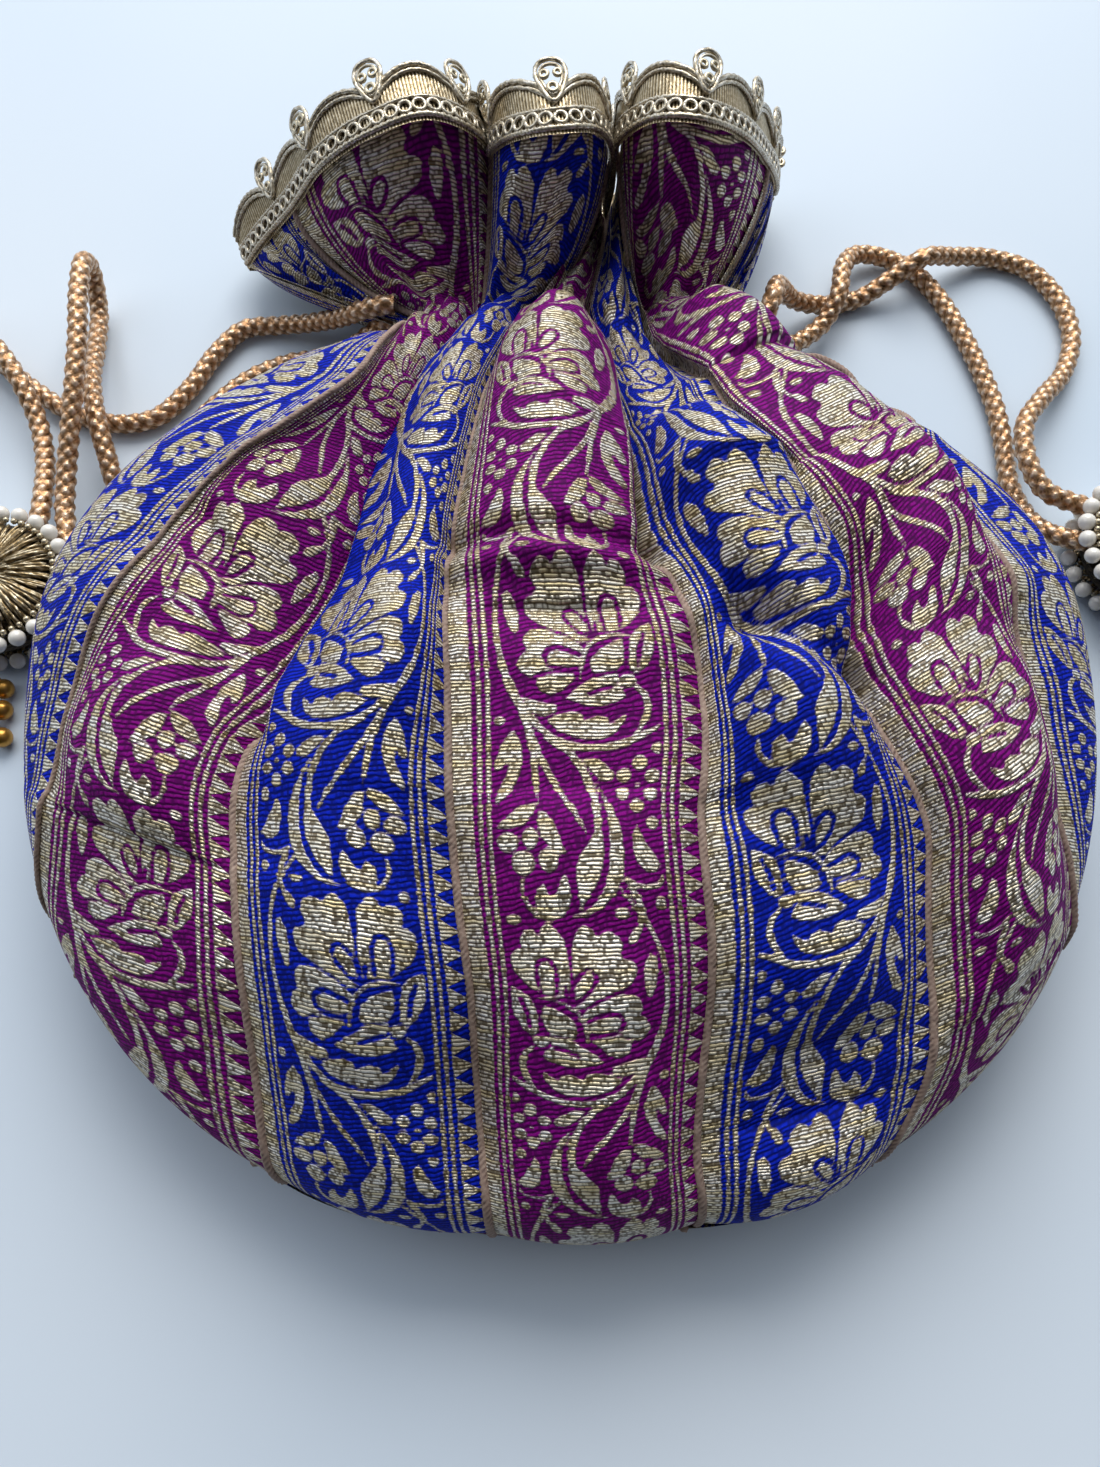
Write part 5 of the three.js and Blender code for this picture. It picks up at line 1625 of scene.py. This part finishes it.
@dataclass
class Lining:
    """The satin pouch inside, sewn in at the rim."""

    panels: Sequence[Panel]
    inset: float = 1.6
    body_inset: float = 2.5
    # The mouth: columns for each strip, rows, the share trimmed off beside the side seams, how many times deeper it
    # lies at the neck than at the rim, its largest share of the gap, and the rows left out of the right corner.
    columns: int = 33
    rows: int = 18
    trim: float = 0.24
    deeper: float = 4.2
    gap_share: float = 0.42
    blind_rows: int = 13
    # The pouch: the share trimmed off, how far short of the hem it ends, and the lowest it lies.
    body_trim: float = 0.14
    short: float = 5.0
    lowest: float = 2.0

    def mouth(self) -> Mesh:
        """The lining of the gathered mouth, close behind the cloth from the neck to the rim."""
        count = self.columns
        f = np.linspace(0, 1, count)
        # The outer strips are trimmed towards the side seams.
        shares = [self.trim + (1 - self.trim) * f] + [f] * 5 + [(1 - self.trim) * f]
        w = np.linspace(0, 0.99, self.rows)[:, None]
        sides = [
            panel.frill_points(np.concatenate([panel.neck_point(n, g) for n, g in enumerate(shares)]),
                               np.concatenate([panel.rim_point(n, g) for n, g in enumerate(shares)]),
                               w, np.concatenate(shares), np.repeat(np.arange(7), count))
            for panel in self.panels]
        rings = np.concatenate([sides[0], sides[1][:, ::-1]], axis=1)
        flat = rings[..., [0, 2]]
        # The way in is taken from the ring without its pleats.
        even = sum(np.roll(flat, k, axis=1) for k in range(-6, 7))
        ahead = unit(np.roll(even, -3, axis=1) - np.roll(even, 3, axis=1))
        # It closes up towards the side seams, where the two sides meet.
        gaps = np.linalg.norm(sides[0][:, :, None, ::2] - sides[1][:, None, :, ::2], axis=-1)
        gap = np.concatenate([gaps.min(axis=2), gaps.min(axis=1)[:, ::-1]], axis=1)
        inset = np.minimum(self.inset * (self.deeper - (self.deeper - 1) * w), self.gap_share * gap)[..., None]
        rings[..., [0, 2]] = flat + inset * np.stack([ahead[..., 1], -ahead[..., 0]], axis=-1)
        faces = grid_faces(*rings.shape[:2], around=True)
        # The tight corner at the right seam has no room for it below the rim.
        row, column = np.divmod(np.arange(len(faces)), rings.shape[1])
        room = (row > self.blind_rows) | (column < 6 * count - 1) | (column >= 8 * count)
        used, faces = np.unique(faces[room], return_inverse=True)
        return Mesh(rings.reshape(-1, 3)[used], faces.reshape(-1, 4), None, {})

    def pouch(self, panel: Panel) -> Mesh:
        """The lining behind one side's body, from the neck to just short of the hem."""
        fine = panel.side is Side.FRONT
        share = np.linspace(0, 1, 13 if fine else 9)
        grids = []
        for number in range(7):
            f = share
            if number in EDGE_STRIPS:
                f = (0 if number else self.body_trim) + (1 - self.body_trim) * share
            ends = panel.cut(number, f * STRIP_WIDTH) - self.short
            v = np.linspace(0, 1, 64 if fine else 40)[:, None] * ends[None, :]
            points = panel.surface(number, f, v, panel.widths(number, f, v))
            points = points - FORM.normal(points[..., 0], points[..., 1], panel.side) * self.body_inset
            keep = np.minimum(1, 0.95 / np.maximum(FORM.spread(points[..., 0], points[..., 1]), 1e-6))
            low = points[..., 1] < -FORM.widest
            points[..., 0] *= keep
            points[..., 1] = np.where(low, -FORM.widest + (points[..., 1] + FORM.widest) * keep, points[..., 1])
            grids.append(points)
        sheet = np.concatenate(grids, axis=1)
        if fine:
            # Under the deep folds it stays as low as the lowest cloth near it.
            ridge = np.pad(sheet[..., 2], ((3, 3), (4, 4)), mode="edge")
            sheet[..., 2] = np.lib.stride_tricks.sliding_window_view(ridge, (7, 9)).min(axis=(2, 3))
        sheet[..., 2] = np.maximum(sheet[..., 2], self.lowest)
        faces = grid_faces(*sheet.shape[:2])
        return Mesh(sheet.reshape(-1, 3), faces[:, ::-1] if fine else faces, None, {})

    def build(self, finish: bpy.types.Material) -> bpy.types.Object:
        """Builds the lining as one sheet and hands it over."""
        parts = [self.mouth()] + [self.pouch(p) for p in self.panels]
        piece = hand_over(make_object("lining_pouch", joined(parts), finish), ["lining"])
        return piece


@dataclass(frozen=True)
class Studio:
    """A pale table, soft light from the far side, and the camera over the hem."""

    target: Tuple[float, float, float] = (-0.0025, -0.0275, 0.0)
    elevation: float = 72.0
    distance: float = 0.27
    lens: float = 27.02

    def floor(self) -> None:
        """A wide smooth table."""
        size = 3.0
        mesh = Mesh(np.array([[-size, -size, 0], [size, -size, 0], [size, size, 0], [-size, size, 0]]) * 1000,
                    np.array([[0, 1, 2, 3]]))
        floor = make_object("table", mesh, TableFinish("lacquered_table").make(), placed=False)

    def lamp(self, name: str, place: Tuple[float, float, float], size: float, power: float, colour: str) -> None:
        """A square soft lamp that faces the bag."""
        light = bpy.data.lights.new(name, "AREA")
        light.size, light.energy, light.color = size, power, linear(colour)[:3]
        lamp = bpy.data.objects.new(name, light)
        lamp.location = place
        lamp.rotation_mode = "QUATERNION"
        lamp.rotation_quaternion = (Vector((0, 0, 0.02)) - Vector(place)).to_track_quat("-Z", "Y")
        bpy.context.scene.collection.objects.link(lamp)

    def camera(self) -> None:
        """The camera at the photograph's angle, in the photograph's frame."""
        data = bpy.data.cameras.new("camera")
        data.lens, data.sensor_width = self.lens, 36.0
        angle = math.radians(self.elevation)
        back = Vector((0, -math.cos(angle), math.sin(angle)))
        camera = bpy.data.objects.new("camera", data)
        camera.location = Vector(self.target) + back * self.distance
        camera.rotation_euler = (math.radians(90 - self.elevation), 0, 0)
        data.clip_start = 0.01
        bpy.context.scene.collection.objects.link(camera)
        bpy.context.scene.camera = camera

    def build(self) -> None:
        """Sets the whole stage up."""
        scene = bpy.context.scene
        scene.view_settings.view_transform = "Standard"
        world = bpy.data.worlds.new("soft_daylight")
        world.use_nodes = True
        # Brighter towards the window on the far side, dim behind the viewer.
        tree = world.node_tree
        way = add(tree, "ShaderNodeTexCoord").outputs["Generated"]
        far = add(tree, "ShaderNodeSeparateXYZ", {0: way}).outputs[1]
        glow = add(tree, "ShaderNodeMapRange", {"Value": far, "From Min": -0.55, "From Max": 0.95, "To Min": 0.02,
                                                "To Max": 1.3}, interpolation_type="SMOOTHSTEP")
        background = tree.nodes["Background"]
        background.inputs["Color"].default_value = linear("e9f1fa")
        tree.links.new(glow.outputs[0], background.inputs["Strength"])
        scene.world = world
        self.floor()
        self.lamp("window", (0.09, 1.23, 1.11), 1.2, 26.0, "fffaf4")
        self.lamp("fill", (-0.7, 0.25, 0.7), 0.8, 1.6, "eef4ff")
        self.camera()


LEFT_UPPER_ROUTE = (
    (9, 4, 3.8), (17, 8, 2.2), (26, 12, 0.8), (35, 14, 0.1), (45, 13, 0), (52, 5, 0), (58, -6, 0), (66, -15, 0),
    (76, -17, 0), (88, -14, 0), (99, -7, 0), (110, 2, 0), (121, 11, 0.1), (127, 16, 1.2), (124, 14, 2.6),
    (114, 7, 2.4), (105, -2, 1.8), (99, -11, 1.4), (95, -20, 0.8), (92, -31, 0.7), (90.5, -41, 1),
)
LEFT_LOWER_ROUTE = (
    (9, 2, 2.2), (16, 1, 1.2), (24, 2, 0.4), (32, 2, 0), (42, -3, 0), (52, -13, 0), (61, -25, 0), (68, -35, 0.1),
    (73, -37, 0.2), (76, -29, 0.9), (79, -19, 1.4), (82, -7, 1.2), (84, 6, 0.4), (85, 18, 0.3), (85, 25, 1.8),
    (84, 22, 3.2), (83, 10, 3.6), (82, -2, 3.4), (82, -14, 3), (83, -25, 2.3), (84, -35, 1.6), (84, -45, 1.2),
)
RIGHT_UPPER_ROUTE = (
    (9, -1, 4.2), (12, 4, 4.6), (14, 10, 4.2), (17, 15, 2.8), (22, 18, 1.2), (30, 20, 0.3), (41, 23, 0),
    (50, 27, 0.7), (58, 31, 1.4), (68, 35, 0.6), (80, 37, 0), (90, 33, 0), (97, 23, 0), (99, 11, 0),
    (95, -1, 0.1), (86, -12, 0.9), (79, -22, 1.4), (78, -32, 1.5), (82, -41, 1.3),
)
RIGHT_LOWER_ROUTE = (
    (8, -2, 2.4), (15, 1, 1.5), (23, 6, 0.8), (30, 12, 0.8), (34, 19, 1.4), (36, 28, 1.3), (41, 36, 0.5),
    (49, 37, 0.1), (57, 33, 0), (63, 25, 0), (68, 14, 0), (72, 2, 0), (75, -11, 0), (76, -24, 0), (76, -35, 0),
    (78, -43, 0.1), (81, -50, 0.6),
)


def drawstrings(repeater: Repeater, finishes: Dict[str, bpy.types.Material]) -> None:
    """Builds both ornaments and the four strands that carry them, and dresses the cords in the channel."""
    left = Ornament("left", (-138.7, -68.0, 8.6))
    right = Ornament("right", (147.7, -57.0, 8.6), seed=11)
    hung = {"left": left.build(repeater, finishes), "right": right.build(repeater, finishes)}
    for node, hand, upper, route, ornament, entry in (
            ("left_upper_strand", -1, True, LEFT_UPPER_ROUTE, left, 0.38),
            ("left_lower_strand", -1, False, LEFT_LOWER_ROUTE, left, 0.2),
            ("right_upper_strand", 1, True, RIGHT_UPPER_ROUTE, right, 0.78),
            ("right_lower_strand", 1, False, RIGHT_LOWER_ROUTE, right, 0.96)):
        dangles = hung[ornament.hand] if upper else []
        Drawstring(node, hand, upper, route, ornament.centre, entry).build(finishes["cord"], dangles)
    for hand, name in ((-1, "left"), (1, "right")):
        ChannelLoop(f"{name}_drawstring_loop", hand).build(finishes["cord"])


def main() -> None:
    """Builds the bag, piece by piece, and its stage."""
    logging.basicConfig(level=logging.INFO, format="%(name)s: %(message)s")
    Studio().build()
    cloths = {
        "blue": BrocadeFinish("blue_zari_brocade").make(),
        "magenta": BrocadeFinish("magenta_zari_brocade", ground="860880", ground_painted_shade="400442").make(),
    }
    colours = ["blue", "magenta", "blue", "magenta", "blue", "magenta", "blue"]
    flowers = [87.0, 20.5, 28.0, 90.0, 72.0, 54.0, 50.0]
    drawn = {3: ((90.0, 0.0), (162.0, 6.0), (216.0, -3.0))}
    plans = [StripPlan(c, n, flowers[n], drawn.get(n, ((0.0, 0.0),))) for n, c in enumerate(colours)]
    front = Panel(Side.FRONT, plans, FRONT_SEAMS, FRONT_RIM, FRONT_CREASES, spacing=0.56,
                  tucks=FRONT_TUCKS, lifts=FRONT_LIFTS, swell=FRONT_SWELL)
    back = Panel(Side.BACK, plans, back_seams(), BACK_RIM, [], spacing=1.6)
    repeater = Repeater()
    # In the yarn finishes, painted_highlight and shade are the colours of painted highlight and painted shade.
    finishes = {
        "cord": YarnFinish("rose_gold_plaited_yarn").make(),
        "bullion": YarnFinish("antique_bullion_wire", colour="7f6b48", painted_highlight="f3e8cc", shade="1c140b", metallic=0.7,
                              roughness=0.28, thread=0.5).make(),
        "lace": YarnFinish("antique_gold_gauze", colour="a08c66", painted_highlight="fff4da", shade="2c2115", metallic=0.6,
                           roughness=0.3, thread=0.5).make(),
        "lace_cord": YarnFinish("silver_gilt_cord", colour="b4a890", painted_highlight="fffaf0", shade="3a3024", metallic=0.6,
                                roughness=0.26, thread=0.5).make(),
        "braid": YarnFinish("mauve_cotton_braid", colour="8f786c", painted_highlight="b7a394", shade="4c3b38", metallic=0.05,
                            roughness=0.75, thread=0.6).make(),
        "pearl": BeadFinish("lacquered_pearl").make(),
        "gold": BeadFinish("plated_gold_bead", colour="cf9d4c", shade="a8752c", metallic=0.85, roughness=0.3,
                           coat=0.2).make(),
        "seed": BeadFinish("gilt_seed_bead", colour="d9cfb4", shade="a9987a", metallic=0.7, roughness=0.25,
                           coat=0.3).make(),
        "satin": SatinFinish("tan_lining_satin").make(),
    }
    drawstrings(repeater, finishes)
    for panel, spacing, sides in ((front, 0.6, 8), (back, 1.4, 6)):
        panel.build(cloths)
        for k in range(1, 7):
            name = f"{panel.side.name.lower()}_seam_{k}_braid"
            SeamBraid().build(name, panel.edges[k], panel.side, spacing, sides, finishes["braid"])
    LaceTrim("front_lace", front).build(repeater, finishes, ["lace_trim"])
    LaceTrim("back_lace", back).build(repeater, finishes, [])
    Lining([front, back]).build(finishes["satin"])


if __name__ == "__main__":
    main()
